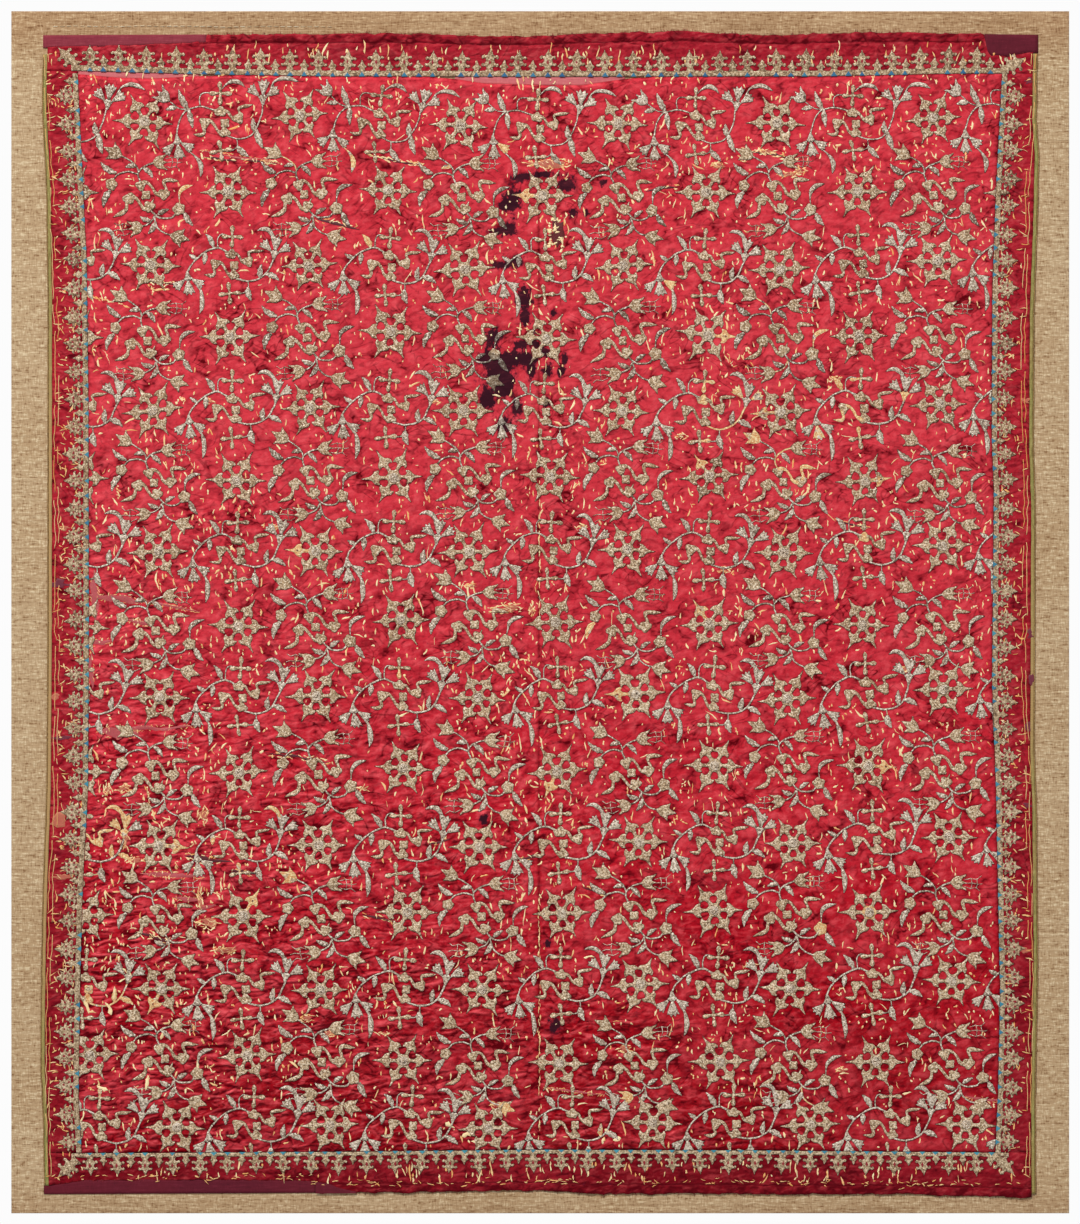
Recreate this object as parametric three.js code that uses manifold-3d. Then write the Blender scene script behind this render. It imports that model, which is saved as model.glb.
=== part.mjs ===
// An embroidered silk panel, stitched down flat on a cloth-covered mount.
// Millimetres. X runs across the panel, Y up it, Z out of its face.
// The origin is under the middle of the mount, on the plane that it rests on.
import * as THREE from 'three';
import { mergeVertices } from 'three/addons/utils/BufferGeometryUtils.js';
import Module from 'manifold-3d';

const wasm = await Module();
wasm.setup();

// The mount.
const mountWidth = 1503;
const mountHeight = 1708;
const mountThickness = 6;
const mountRim = 2; // radius of the cloth where it turns over the edge

// The cloth that lies on it.
const seatGap = 0.3; // between the mount and what is stitched on it
const seamGap = 0.4; // between two cloths that meet
const satinThickness = 1.5;
const mendThickness = 1;
const edgingThickness = 1.6;
const edgingWidth = 4.2;
const edgingCrown = 0.4; // how far its middle stands above its sides
const cordThickness = 2;
const seamX = -1.5; // the seam between the two widths of the field

// The embroidery's relief.
const guardWidth = 9; // metal-thread band on the border's inner edge
const guardRaise = 1;
const guardStep = 0.8; // the slope at the band's edge
const starReach = 41; // centre to tip
const starWaist = 17; // centre to the notch between two petals
const starRaise = 0.9;
const starCrown = 1.9;
const stemRaise = 0.7;
const motifRoot = 0.7; // how deep a motif's foot is set in the cloth
const palmettePitch = 40;
const longBuds = 620; // how far from the middle they stand on the top and bottom strips
const sideBuds = 740;
const palmetteReach = 24;
const palmetteHalf = 10.5;
const palmetteRaise = 0.8;
const palmetteCrown = 1.3;

const stripWidth = 55; // of a border strip, on average
const fieldStep = { across: 84, up: 54 }; // the largest cell of the field's surface
const stripStep = 120; // the longest stretch of a strip without a station
const outermost = 710; // further out than any cloth's side edge

// Where the cloths end. Each row is a place along an edge and how far out the cloth lies there.
const edges = {
  outerLeft: [ // outermost line of the left side
    { y: 822, x: -706 }, { y: 720, x: -708 }, { y: 600, x: -702 }, { y: 450, x: -700 },
    { y: 0, x: -700 }, { y: -250, x: -701.5 }, { y: -330, x: -704.5 }, { y: -440, x: -708 },
    { y: -570, x: -710 }, { y: -650, x: -710 }, { y: -720, x: -706.5 }, { y: -830, x: -704.5 },
  ],
  outerRight: [
    { y: 822, x: 707 }, { y: 700, x: 705.5 }, { y: 650, x: 709 }, { y: 540, x: 706.5 },
    { y: 430, x: 702 }, { y: 240, x: 701 }, { y: 150, x: 704 }, { y: -200, x: 702.5 },
    { y: -270, x: 705.5 }, { y: -500, x: 707.5 }, { y: -700, x: 704 }, { y: -830, x: 704.5 },
  ],
  guardLeft: [ // where the left border strip meets the field
    { y: 769, x: -657 }, { y: 600, x: -649 }, { y: 500, x: -644 }, { y: 300, x: -641.5 },
    { y: -40, x: -641 }, { y: -250, x: -642 }, { y: -400, x: -650 }, { y: -540, x: -653.5 },
    { y: -690, x: -655.5 }, { y: -768, x: -651 },
  ],
  guardRight: [
    { y: 769, x: 656 }, { y: 600, x: 647 }, { y: 460, x: 642 }, { y: 250, x: 641 },
    { y: 170, x: 644 }, { y: -100, x: 641.5 }, { y: -250, x: 647 }, { y: -400, x: 650 },
    { y: -540, x: 653 }, { y: -680, x: 650 }, { y: -768, x: 646 },
  ],
  guardTop: [
    { x: -710, y: 769 }, { x: -657, y: 769 }, { x: -480, y: 764 }, { x: -300, y: 761 },
    { x: 0, y: 760.5 }, { x: 400, y: 761 }, { x: 600, y: 765 }, { x: 710, y: 765 },
  ],
  guardBottom: [
    { x: -710, y: -768 }, { x: -651, y: -768 }, { x: -300, y: -766 }, { x: 0, y: -763 },
    { x: 300, y: -764 }, { x: 640, y: -767 }, { x: 710, y: -767 },
  ],
  outerTop: [ // the worn top edge
    { x: -710, y: 819.5 }, { x: -376, y: 821 }, { x: -185, y: 822 }, { x: -57, y: 817 },
    { x: 71, y: 822 }, { x: 198, y: 825 }, { x: 262, y: 821.5 }, { x: 326, y: 820 },
    { x: 454, y: 824 }, { x: 582, y: 822 }, { x: 710, y: 820 },
  ],
  outerBottom: [
    { x: -710, y: -826.5 }, { x: -200, y: -824 }, { x: -57, y: -822 }, { x: 7, y: -820.5 },
    { x: 71, y: -826 }, { x: 518, y: -826 }, { x: 582, y: -829 }, { x: 710, y: -831 },
  ],
};

// Mends let in where the old satin is lost. The rows give the torn edge that each one meets.
const plumMends = [
  {
    name: 'plum_mend_top_left', side: 'top', color: '#8c3a4c',
    torn: [
      { x: -706, y: 803 }, { x: -640, y: 806 }, { x: -590, y: 805 }, { x: -530, y: 811 },
      { x: -474, y: 815 },
    ],
  },
  {
    name: 'plum_mend_top_right', side: 'top', color: '#5c1a2c',
    torn: [
      { x: 631, y: 802 }, { x: 640, y: 790.5 }, { x: 662, y: 789.5 }, { x: 690, y: 795 },
      { x: 707, y: 795.5 },
    ],
  },
  {
    name: 'plum_mend_bottom_left', side: 'bottom', color: '#6a2236',
    torn: [
      { x: -705, y: -815 }, { x: -680, y: -812.5 }, { x: -652, y: -807.5 }, { x: -480, y: -805.5 },
      { x: -400, y: -807 }, { x: -334, y: -812 },
    ],
  },
];

// How far the field's torn top edge lies below the guard band. A pink mend fills each wide stretch.
const tornTop = [
  { x: -657, y: 3 }, { x: -600, y: 6 }, { x: -550, y: 6.5 }, { x: -485, y: 1.6 }, { x: -425, y: 0.4 },
  { x: -160, y: 0.4 }, { x: -121, y: 2.4 }, { x: -80, y: 8 }, { x: 0, y: 10.5 }, { x: 60, y: 9.5 },
  { x: 120, y: 2.4 }, { x: 160, y: 0.4 }, { x: 656, y: 0.4 },
];
const pinkMends = [
  { name: 'pink_mend_left', from: -656, to: -485 },
  { name: 'pink_mend_middle', from: -121, to: 120 },
];

// The rows of star rosettes, from the top: their height, the first and last star, and their number.
const starRows = [
  { y: 696, first: -562, last: 559, count: 6 },
  { y: 596, first: -443, last: 453, count: 5 },
  { y: 491, first: -553, last: 563, count: 6 },
  { y: 391, first: -439, last: 455, count: 5 },
  { y: 288, first: -550, last: 565, count: 6 },
  { y: 191, first: -430, last: 460, count: 5 },
  { y: 87, first: -544, last: 571, count: 6 },
  { y: -17, first: -426, last: 457, count: 5 },
  { y: -119, first: -540, last: 573, count: 6 },
  { y: -223, first: -425, last: 465, count: 5 },
  { y: -328, first: -539, last: 580, count: 6 },
  { y: -426, first: -422, last: 467, count: 5 },
  { y: -534, first: -536, last: 586, count: 6 },
  { y: -636, first: -416, last: 475, count: 5 },
  { y: -728, first: -516, last: 604, count: 6 },
];

// The scroll between two stars of a long row, from its middle: a cloud band in the middle, and a stem
// on each side of it that ends in a three-headed carnation. The rows give one half.
const longScroll = [
  { x: 0, y: 0, width: 13 }, { x: 26, y: -27, width: 4.5 }, { x: 52, y: -14, width: 4.5 },
  { x: 62, y: 12, width: 7 }, { x: 66, y: 36, width: 28 },
];

// The spray between two stars of a short row: a cloud band, and a stem that ends in a tulip.
const shortSpray = [
  { x: 0, y: 0, width: 14 }, { x: 25, y: -38, width: 4.5 }, { x: 46, y: -52, width: 13 },
];

// The main folds in the field: middle, direction in degrees, half length, half width and height.
const folds = [
  { x: -480, y: -262, turn: 4, length: 150, width: 34, height: 1.1 },
  { x: -330, y: -380, turn: -6, length: 170, width: 32, height: 1.2 },
  { x: -540, y: -480, turn: 8, length: 120, width: 30, height: 1.4 },
  { x: -300, y: -500, turn: -4, length: 180, width: 34, height: 1.3 },
  { x: -500, y: -590, turn: 3, length: 150, width: 30, height: 1.5 },
  { x: -260, y: -690, turn: -3, length: 190, width: 32, height: 1.2 },
  { x: -540, y: -690, turn: -5, length: 110, width: 30, height: 1.4 },
  { x: 60, y: -560, turn: 2, length: 150, width: 32, height: 1 },
  { x: 130, y: -170, turn: 52, length: 150, width: 36, height: 1.1 },
  { x: 260, y: -230, turn: 48, length: 130, width: 34, height: 1 },
  { x: 330, y: -600, turn: -2, length: 200, width: 34, height: 1.1 },
  { x: 420, y: -420, turn: 5, length: 160, width: 34, height: 0.9 },
  { x: 300, y: 640, turn: -4, length: 150, width: 34, height: 0.9 },
  { x: 520, y: 610, turn: 2, length: 100, width: 32, height: 1 },
  { x: -300, y: 640, turn: 5, length: 130, width: 34, height: 0.8 },
];

const colours = {
  mount: '#b99a6f',
  satin: '#b9202f',
  crimson: '#8f1a28',
  pink: '#cc6c70',
  green: '#7f9446',
  cord: '#8d6b3c',
};

const clothBase = mountThickness + seatGap;
const satinTop = clothBase + satinThickness;

function mix(a, b, t) {
  return a + (b - a) * t;
}

// Reads a table of { x, y } rows as a line: the value of one column at a place in the other.
function along(rows, column, place) {
  const other = column === 'x' ? 'y' : 'x';
  const sorted = [...rows].sort((a, b) => a[other] - b[other]);
  const first = sorted[0];
  const last = sorted[sorted.length - 1];
  if (place <= first[other]) return first[column];
  if (place >= last[other]) return last[column];
  const next = sorted.findIndex((row) => row[other] >= place);
  const before = sorted[next - 1];
  const after = sorted[next];
  return mix(before[column], after[column], (place - before[other]) / (after[other] - before[other]));
}

// Stations from one end to the other: the given breaks, and even steps that fill the rest.
function stations(from, to, breaks, widest) {
  const fixed = [from, ...breaks.filter((at) => at > from && at < to), to].sort((a, b) => a - b);
  return fixed.flatMap((at, i) => {
    if (i === fixed.length - 1) return [at];
    const count = Math.ceil((fixed[i + 1] - at) / widest);
    return Array.from({ length: count }, (unused, k) => mix(at, fixed[i + 1], k / count));
  });
}

function shares(list) {
  const from = list[0];
  const to = list[list.length - 1];
  return list.map((at) => (at - from) / (to - from));
}

function geometryFrom(points, triangles) {
  const geometry = new THREE.BufferGeometry();
  geometry.setAttribute('position', new THREE.Float32BufferAttribute(points.flat(), 3));
  geometry.setIndex(triangles.flat());
  return geometry;
}

// A cloth as a closed sheet: flat below, and above with the lift that each place has.
// place(u, v) gives x and y, with u running towards +X and v towards +Y.
function sheet({ us, vs, place, thickness, lift = () => 0 }) {
  const points = [];
  const triangles = [];
  const width = us.length;
  for (const v of vs) {
    for (const u of us) {
      const [x, y] = place(u, v);
      points.push([x, y, clothBase + thickness + lift(x, y, u, v)]);
    }
  }
  for (let j = 0; j < vs.length - 1; j += 1) {
    for (let i = 0; i < width - 1; i += 1) {
      const a = j * width + i;
      triangles.push([a, a + 1, a + width + 1], [a, a + width + 1, a + width]);
    }
  }
  const rim = [];
  for (let i = 0; i < width - 1; i += 1) rim.push(i);
  for (let j = 0; j < vs.length - 1; j += 1) rim.push(j * width + width - 1);
  for (let i = width - 1; i > 0; i -= 1) rim.push((vs.length - 1) * width + i);
  for (let j = vs.length - 1; j > 0; j -= 1) rim.push(j * width);
  const below = points.length;
  rim.forEach((index) => points.push([points[index][0], points[index][1], clothBase]));
  rim.forEach((index, i) => {
    const next = (i + 1) % rim.length;
    triangles.push([index, below + i, below + next], [index, below + next, rim[next]]);
  });
  const outline = rim.map((index) => new THREE.Vector2(points[index][0], points[index][1]));
  THREE.ShapeUtils.triangulateShape(outline, []).forEach(([a, b, c]) => {
    triangles.push([below + a, below + c, below + b]);
  });
  return geometryFrom(points, triangles);
}

// A raised motif: its outline stands on the cloth, and its middle is higher. It reaches into the
// cloth below, so that the two can be joined.
function raised(outline, middle, surface, rise, crown) {
  const count = outline.length;
  const points = [];
  const triangles = [];
  outline.forEach(([x, y]) => points.push([x, y, surface(x, y) + rise]));
  outline.forEach(([x, y]) => points.push([x, y, surface(x, y) - motifRoot]));
  points.push([middle[0], middle[1], surface(...middle) + crown]);
  points.push([middle[0], middle[1], surface(...middle) - motifRoot]);
  for (let i = 0; i < count; i += 1) {
    const next = (i + 1) % count;
    triangles.push([2 * count, i, next], [2 * count + 1, count + next, count + i]);
    triangles.push([i, count + i, count + next], [i, count + next, next]);
  }
  return geometryFrom(points, triangles);
}

// A raised ribbon along rows of { x, y, width }.
function ribbon(rows, surface, rise) {
  const points = [];
  const triangles = [];
  rows.forEach(({ x, y, width }, i) => {
    const before = rows[Math.max(0, i - 1)];
    const after = rows[Math.min(rows.length - 1, i + 1)];
    const heading = Math.atan2(after.y - before.y, after.x - before.x);
    const half = [-Math.sin(heading) * width / 2, Math.cos(heading) * width / 2];
    [[1, rise], [-1, rise], [1, -motifRoot], [-1, -motifRoot]].forEach(([side, height]) => {
      const px = x + side * half[0];
      const py = y + side * half[1];
      points.push([px, py, surface(px, py) + height]);
    });
  });
  const quad = (a, b, c, d) => triangles.push([a, b, c], [a, c, d]);
  for (let i = 0; i < rows.length - 1; i += 1) {
    const a = 4 * i;
    const b = a + 4;
    quad(a, a + 1, b + 1, b);
    quad(a + 2, b + 2, b + 3, a + 3);
    quad(a, b, b + 2, a + 2);
    quad(a + 1, a + 3, b + 3, b + 1);
  }
  const end = 4 * (rows.length - 1);
  quad(0, 2, 3, 1);
  quad(end, end + 1, end + 3, end + 2);
  return geometryFrom(points, triangles);
}

function toManifold(geometry) {
  const bare = geometry.clone();
  bare.deleteAttribute('normal');
  bare.deleteAttribute('uv');
  const merged = mergeVertices(bare);
  return new wasm.Manifold(new wasm.Mesh({
    numProp: 3,
    vertProperties: new Float32Array(merged.attributes.position.array),
    triVerts: new Uint32Array(merged.index.array),
  }));
}

// The share of a motif that lies between two lines of x and above a line of y, or null.
function keptInside(motif, from, to, low) {
  const { min, max } = motif.boundingBox();
  if (max[0] < from || min[0] > to) return null;
  if (min[0] > from && max[0] < to && min[1] > low) return motif;
  const box = new THREE.BoxGeometry(to - from, mountHeight, mountHeight);
  box.translate((from + to) / 2, low + mountHeight / 2, 0);
  return motif.intersect(toManifold(box));
}

function joined(base, additions) {
  const solid = additions.reduce((sum, item) => sum.add(item), toManifold(base));
  const mesh = solid.getMesh();
  const geometry = new THREE.BufferGeometry();
  geometry.setAttribute('position', new THREE.BufferAttribute(new Float32Array(mesh.vertProperties), 3));
  geometry.setIndex(new THREE.BufferAttribute(new Uint32Array(mesh.triVerts), 1));
  return geometry;
}

const part = new THREE.Group();

function addPiece(name, geometry, color, roughness = 0.7) {
  const material = new THREE.MeshStandardMaterial({ color, roughness, metalness: 0 });
  const mesh = new THREE.Mesh(geometry, material);
  mesh.name = name;
  part.add(mesh);
}

// How far the field's cloth stands up over its lowest level at a place.
function foldLift(x, y) {
  return folds.reduce((sum, fold) => {
    const turn = THREE.MathUtils.degToRad(fold.turn);
    const alongFold = (x - fold.x) * Math.cos(turn) + (y - fold.y) * Math.sin(turn);
    const acrossFold = (y - fold.y) * Math.cos(turn) - (x - fold.x) * Math.sin(turn);
    const reach = Math.max(0, 1 - (alongFold / fold.length) ** 2);
    const bulge = Math.max(0, 1 - (acrossFold / fold.width) ** 2);
    return sum + fold.height * reach * bulge;
  }, 0);
}

function fieldSurface(x, y) {
  return satinTop + foldLift(x, y);
}

// Six points and six notches about a centre.
function starOutline(cx, cy) {
  return Array.from({ length: 12 }, (unused, i) => {
    const angle = (i * Math.PI) / 6;
    const reach = i % 2 === 0 ? starReach : starWaist;
    return [cx + reach * Math.cos(angle), cy + reach * Math.sin(angle)];
  });
}

function starCentres() {
  return starRows.flatMap(({ y, first, last, count }) => (
    Array.from({ length: count }, (unused, i) => [mix(first, last, i / (count - 1)), y])
  ));
}

// The scroll midway between the stars of each row, whole: its half rows, and the same turned round.
function scrolls() {
  return starRows.flatMap(({ y, first, last, count }) => (
    Array.from({ length: count - 1 }, (unused, i) => {
      const x = mix(first, last, (i + 0.5) / (count - 1));
      const half = count === 6 ? longScroll : shortSpray;
      const place = (side) => (row) => ({ x: x + side * row.x, y: y + side * row.y, width: row.width });
      return [...half.slice(1).reverse().map(place(-1)), ...half.map(place(1))];
    })
  ));
}

// The field's top and bottom edges.
function fieldTop(x) {
  return along(edges.guardTop, 'y', x) - along(tornTop, 'y', x);
}

function fieldBottom(x) {
  return along(edges.guardBottom, 'y', x) + seamGap;
}

// A width of the field between its left and right edges, which are given as lines of y.
function fieldWidth(left, right, breaksY) {
  const level = fieldTop(0);
  const xs = stations(left(level), right(level), tornTop.map((row) => row.x), fieldStep.across);
  const ys = stations(fieldBottom(left(0)), fieldTop(right(0)), breaksY, fieldStep.up);
  return sheet({
    us: shares(xs),
    vs: shares(ys),
    thickness: satinThickness,
    lift: foldLift,
    place: (u, v) => {
      const nominal = mix(xs[0], xs[xs.length - 1], u);
      const y = mix(fieldBottom(nominal), fieldTop(nominal), v);
      return [mix(left(y), right(y), u), y];
    },
  });
}

function addField() {
  const widths = [
    {
      name: 'field_left',
      left: (y) => along(edges.guardLeft, 'x', y) + seamGap,
      right: () => seamX - seamGap / 2,
      breaks: edges.guardLeft,
    },
    {
      name: 'field_right',
      left: () => seamX + seamGap / 2,
      right: (y) => along(edges.guardRight, 'x', y) - seamGap,
      breaks: edges.guardRight,
    },
  ];
  const stars = starCentres().map((centre) => (
    raised(starOutline(...centre), centre, fieldSurface, starRaise, starCrown)
  ));
  const stems = scrolls().map((rows) => ribbon(rows, fieldSurface, stemRaise));
  const motifs = [...stars, ...stems].map(toManifold);
  widths.forEach(({ name, left, right, breaks }) => {
    const base = fieldWidth(left, right, breaks.map((row) => row.y));
    const own = motifs
      .map((motif) => keptInside(motif, left(0), right(0), fieldBottom(0)))
      .filter(Boolean);
    addPiece(name, joined(base, own), colours.satin, 0.45);
  });
}

// The lift across a border strip, at a share of its width from the inner edge: the guard band
// stands up, and its outer side slopes down to the plain cloth.
function guardLift(share) {
  const past = share * stripWidth - guardWidth;
  return guardRaise * THREE.MathUtils.clamp(1 - past / guardStep, 0, 1);
}

// The stations across a strip, as shares of its width in the direction of + where out is 1.
function acrossStrip(out) {
  const fromInner = [0, guardWidth / stripWidth, (guardWidth + guardStep) / stripWidth, 1];
  return out > 0 ? fromInner : fromInner.map((share) => 1 - share).reverse();
}

function redLeft(y) {
  return along(edges.outerLeft, 'x', y) + edgingWidth + cordThickness + 2 * seatGap;
}

function redRight(y) {
  return along(edges.outerRight, 'x', y) - edgingWidth - cordThickness - 2 * seatGap;
}

function reaches(torn, x) {
  return x >= torn[0].x - seamGap && x <= torn[torn.length - 1].x + seamGap;
}

// The outer edge of a long strip's cloth: its worn edge, or the torn edge that a mend meets.
function longStripEdge(side, x) {
  const mend = plumMends.find((row) => row.side === side && reaches(row.torn, x));
  const worn = side === 'top' ? edges.outerTop : edges.outerBottom;
  if (!mend) return along(worn, 'y', x);
  return along(mend.torn, 'y', x) - (side === 'top' ? seamGap : -seamGap);
}

// A palmette bud that stands outwards from the guard band, at a place on the band's outer line.
function palmette(x, y, outX, outY) {
  const half = palmetteReach / 2;
  const foot = guardStep + 0.3;
  const outline = [[foot, 0], [half, -palmetteHalf], [palmetteReach, 0], [half, palmetteHalf]]
    .map(([out, side]) => [x + out * outX - side * outY, y + out * outY + side * outX]);
  const middle = [x + half * outX, y + half * outY];
  return toManifold(raised(outline, middle, () => satinTop, palmetteRaise, palmetteCrown));
}

function placesAlong(reach) {
  const count = Math.round((2 * reach) / palmettePitch);
  return Array.from({ length: count }, (unused, i) => mix(-reach, reach, (i + 0.5) / count));
}

// The top and bottom strips run the whole width, corners included.
function addLongStrips() {
  const strips = [
    { side: 'top', guard: edges.guardTop, worn: edges.outerTop, out: 1 },
    { side: 'bottom', guard: edges.guardBottom, worn: edges.outerBottom, out: -1 },
  ];
  strips.forEach(({ side, guard, worn, out }) => {
    const inner = (x) => along(guard, 'y', x);
    const left = redLeft(inner(0));
    const right = redRight(inner(0));
    const mends = plumMends.filter((row) => row.side === side).map((row) => row.torn);
    const ends = mends.flatMap((torn) => [
      torn[0].x - 2 * seamGap,
      torn[0].x - seamGap,
      torn[torn.length - 1].x + seamGap,
      torn[torn.length - 1].x + 2 * seamGap,
    ]);
    const breaks = [...guard, ...worn, ...mends.flat()].map((row) => row.x);
    const base = sheet({
      us: shares(stations(left, right, [...breaks, ...ends], stripStep)),
      vs: acrossStrip(out),
      thickness: satinThickness,
      place: (u, v) => {
        const x = mix(left, right, u);
        const outer = longStripEdge(side, x);
        const y = out > 0 ? mix(inner(x), outer, v) : mix(outer, inner(x), v);
        if (u === 0) return [redLeft(y), y];
        if (u === 1) return [redRight(y), y];
        return [x, y];
      },
      lift: (x, y, u, v) => guardLift(out > 0 ? v : 1 - v),
    });
    const buds = placesAlong(longBuds).map((x) => palmette(x, inner(x) + out * guardWidth, 0, out));
    addPiece(`border_${side}`, joined(base, buds), colours.crimson, 0.55);
  });
}

function addSideStrips() {
  const strips = [
    { side: 'left', guard: edges.guardLeft, worn: edges.outerLeft, red: redLeft, out: -1 },
    { side: 'right', guard: edges.guardRight, worn: edges.outerRight, red: redRight, out: 1 },
  ];
  strips.forEach(({ side, guard, worn, red, out }) => {
    const inner = (y) => along(guard, 'x', y);
    const bottom = along(edges.guardBottom, 'y', out * outermost) + seamGap;
    const top = along(edges.guardTop, 'y', out * outermost) - seamGap;
    const breaks = [...guard, ...worn].map((row) => row.y);
    const base = sheet({
      us: acrossStrip(out),
      vs: shares(stations(bottom, top, breaks, stripStep)),
      thickness: satinThickness,
      place: (u, v) => {
        const y = mix(bottom, top, v);
        return [out > 0 ? mix(inner(y), red(y), u) : mix(red(y), inner(y), u), y];
      },
      lift: (x, y, u) => guardLift(out > 0 ? u : 1 - u),
    });
    const buds = placesAlong(sideBuds).map((y) => palmette(inner(y) + out * guardWidth, y, out, 0));
    addPiece(`border_${side}`, joined(base, buds), colours.crimson, 0.55);
  });
}

// The plain cloth let in along the worn top and bottom edges.
function addPlumMends() {
  plumMends.forEach(({ name, side, torn, color }) => {
    const worn = side === 'top' ? edges.outerTop : edges.outerBottom;
    const from = torn[0].x;
    const to = torn[torn.length - 1].x;
    const breaks = [...torn, ...worn].map((row) => row.x);
    addPiece(name, sheet({
      us: shares(stations(from, to, breaks, stripStep)),
      vs: [0, 1],
      thickness: mendThickness,
      place: (u, v) => {
        const x = mix(from, to, u);
        const low = side === 'top' ? along(torn, 'y', x) : along(worn, 'y', x);
        const high = side === 'top' ? along(worn, 'y', x) : along(torn, 'y', x);
        return [x, mix(low, high, v)];
      },
    }), color);
  });
}

// The pink cloth let in between the guard band and the field's torn edge.
function addPinkMends() {
  pinkMends.forEach(({ name, from, to }) => {
    const breaks = [...tornTop, ...edges.guardTop].map((row) => row.x);
    addPiece(name, sheet({
      us: shares(stations(from, to, breaks, stripStep)),
      vs: [0, 1],
      thickness: mendThickness,
      place: (u, v) => {
        const x = mix(from, to, u);
        return [x, mix(fieldTop(x) + seamGap, along(edges.guardTop, 'y', x) - seamGap, v)];
      },
    }), colours.pink);
  });
}

// The green strip and the cord outside it, along both sides.
function addEdging() {
  const sides = [
    { side: 'left', worn: edges.outerLeft, out: -1, bottom: -814, top: 792 },
    { side: 'right', worn: edges.outerRight, out: 1, bottom: -826, top: 793 },
  ];
  sides.forEach(({ side, worn, out, bottom, top }) => {
    const vs = shares(stations(bottom, top, worn.map((row) => row.y), stripStep));
    const outer = (y) => along(worn, 'x', y);
    const rows = [
      {
        name: `edging_${side}`,
        from: (y) => outer(y) - out * (cordThickness + seatGap + edgingWidth),
        to: (y) => outer(y) - out * (cordThickness + seatGap),
        us: [0, 0.5, 1],
        thickness: edgingThickness,
        crown: edgingCrown,
        color: colours.green,
      },
      {
        name: `edge_cord_${side}`,
        from: (y) => outer(y) - out * cordThickness,
        to: outer,
        us: [0, 0.25, 0.75, 1],
        thickness: cordThickness / 2,
        crown: cordThickness / 2,
        color: colours.cord,
      },
    ];
    rows.forEach(({ name, from, to, us, thickness, crown, color }) => {
      addPiece(name, sheet({
        us,
        vs,
        thickness,
        place: (u, v) => {
          const y = mix(bottom, top, v);
          return [out > 0 ? mix(from(y), to(y), u) : mix(to(y), from(y), u), y];
        },
        lift: (x, y, u) => (u === 0 || u === 1 ? 0 : crown),
      }), color);
    });
  });
}

// The support: cloth turned over the straight edges of a thin flat core.
function addMount() {
  const shape = new THREE.Shape();
  const halfWidth = mountWidth / 2 - mountRim;
  const halfHeight = mountHeight / 2 - mountRim;
  shape.moveTo(-halfWidth, -halfHeight);
  shape.lineTo(halfWidth, -halfHeight);
  shape.lineTo(halfWidth, halfHeight);
  shape.lineTo(-halfWidth, halfHeight);
  shape.closePath();
  const geometry = new THREE.ExtrudeGeometry(shape, {
    depth: mountThickness - 2 * mountRim,
    steps: 1,
    bevelEnabled: true,
    bevelThickness: mountRim,
    bevelSize: mountRim,
    bevelSegments: 3,
  });
  geometry.translate(0, 0, mountRim);
  addPiece('mount', geometry, colours.mount, 0.9);
}

addMount();
addField();
addLongStrips();
addSideStrips();
addPlumMends();
addPinkMends();
addEdging();

export default part;
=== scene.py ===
import bpy
import numpy as np
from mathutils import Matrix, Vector
from mathutils.geometry import delaunay_2d_cdt


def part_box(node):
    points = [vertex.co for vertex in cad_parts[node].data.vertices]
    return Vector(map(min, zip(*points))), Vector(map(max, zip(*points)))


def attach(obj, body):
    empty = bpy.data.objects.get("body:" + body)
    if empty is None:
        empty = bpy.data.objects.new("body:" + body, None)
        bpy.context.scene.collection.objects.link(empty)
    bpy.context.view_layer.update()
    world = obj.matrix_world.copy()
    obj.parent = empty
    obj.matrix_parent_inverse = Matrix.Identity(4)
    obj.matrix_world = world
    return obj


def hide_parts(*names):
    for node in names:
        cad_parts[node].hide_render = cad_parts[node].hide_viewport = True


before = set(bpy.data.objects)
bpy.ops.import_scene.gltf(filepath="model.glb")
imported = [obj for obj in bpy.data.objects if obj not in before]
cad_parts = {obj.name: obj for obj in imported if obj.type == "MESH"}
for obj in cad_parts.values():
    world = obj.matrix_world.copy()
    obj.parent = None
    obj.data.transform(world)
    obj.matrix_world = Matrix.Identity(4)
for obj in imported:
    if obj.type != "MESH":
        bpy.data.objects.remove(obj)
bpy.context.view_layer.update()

# All lengths below are millimetres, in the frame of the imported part.
mountLow, mountHigh = (np.array(corner) * 1000 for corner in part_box("mount"))
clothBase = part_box("field_left")[0][2] * 1000
satinTop = clothBase + 1.5
random = np.random.default_rng(1729)


class Value:
    def __init__(self, paint, socket):
        self.paint = paint
        self.socket = socket

    def work(self, operation, *others):
        return self.paint.node("ShaderNodeMath", {"operation": operation}, dict(enumerate((self, *others))))

    def __add__(self, other):
        return self.work("ADD", other)

    def __sub__(self, other):
        return self.work("SUBTRACT", other)

    def __rsub__(self, other):
        return self.paint.node("ShaderNodeMath", {"operation": "SUBTRACT"}, {0: other, 1: self})

    def __mul__(self, other):
        return self.work("MULTIPLY", other)

    def __truediv__(self, other):
        return self.work("DIVIDE", other)

    __radd__ = __add__
    __rmul__ = __mul__


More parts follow.
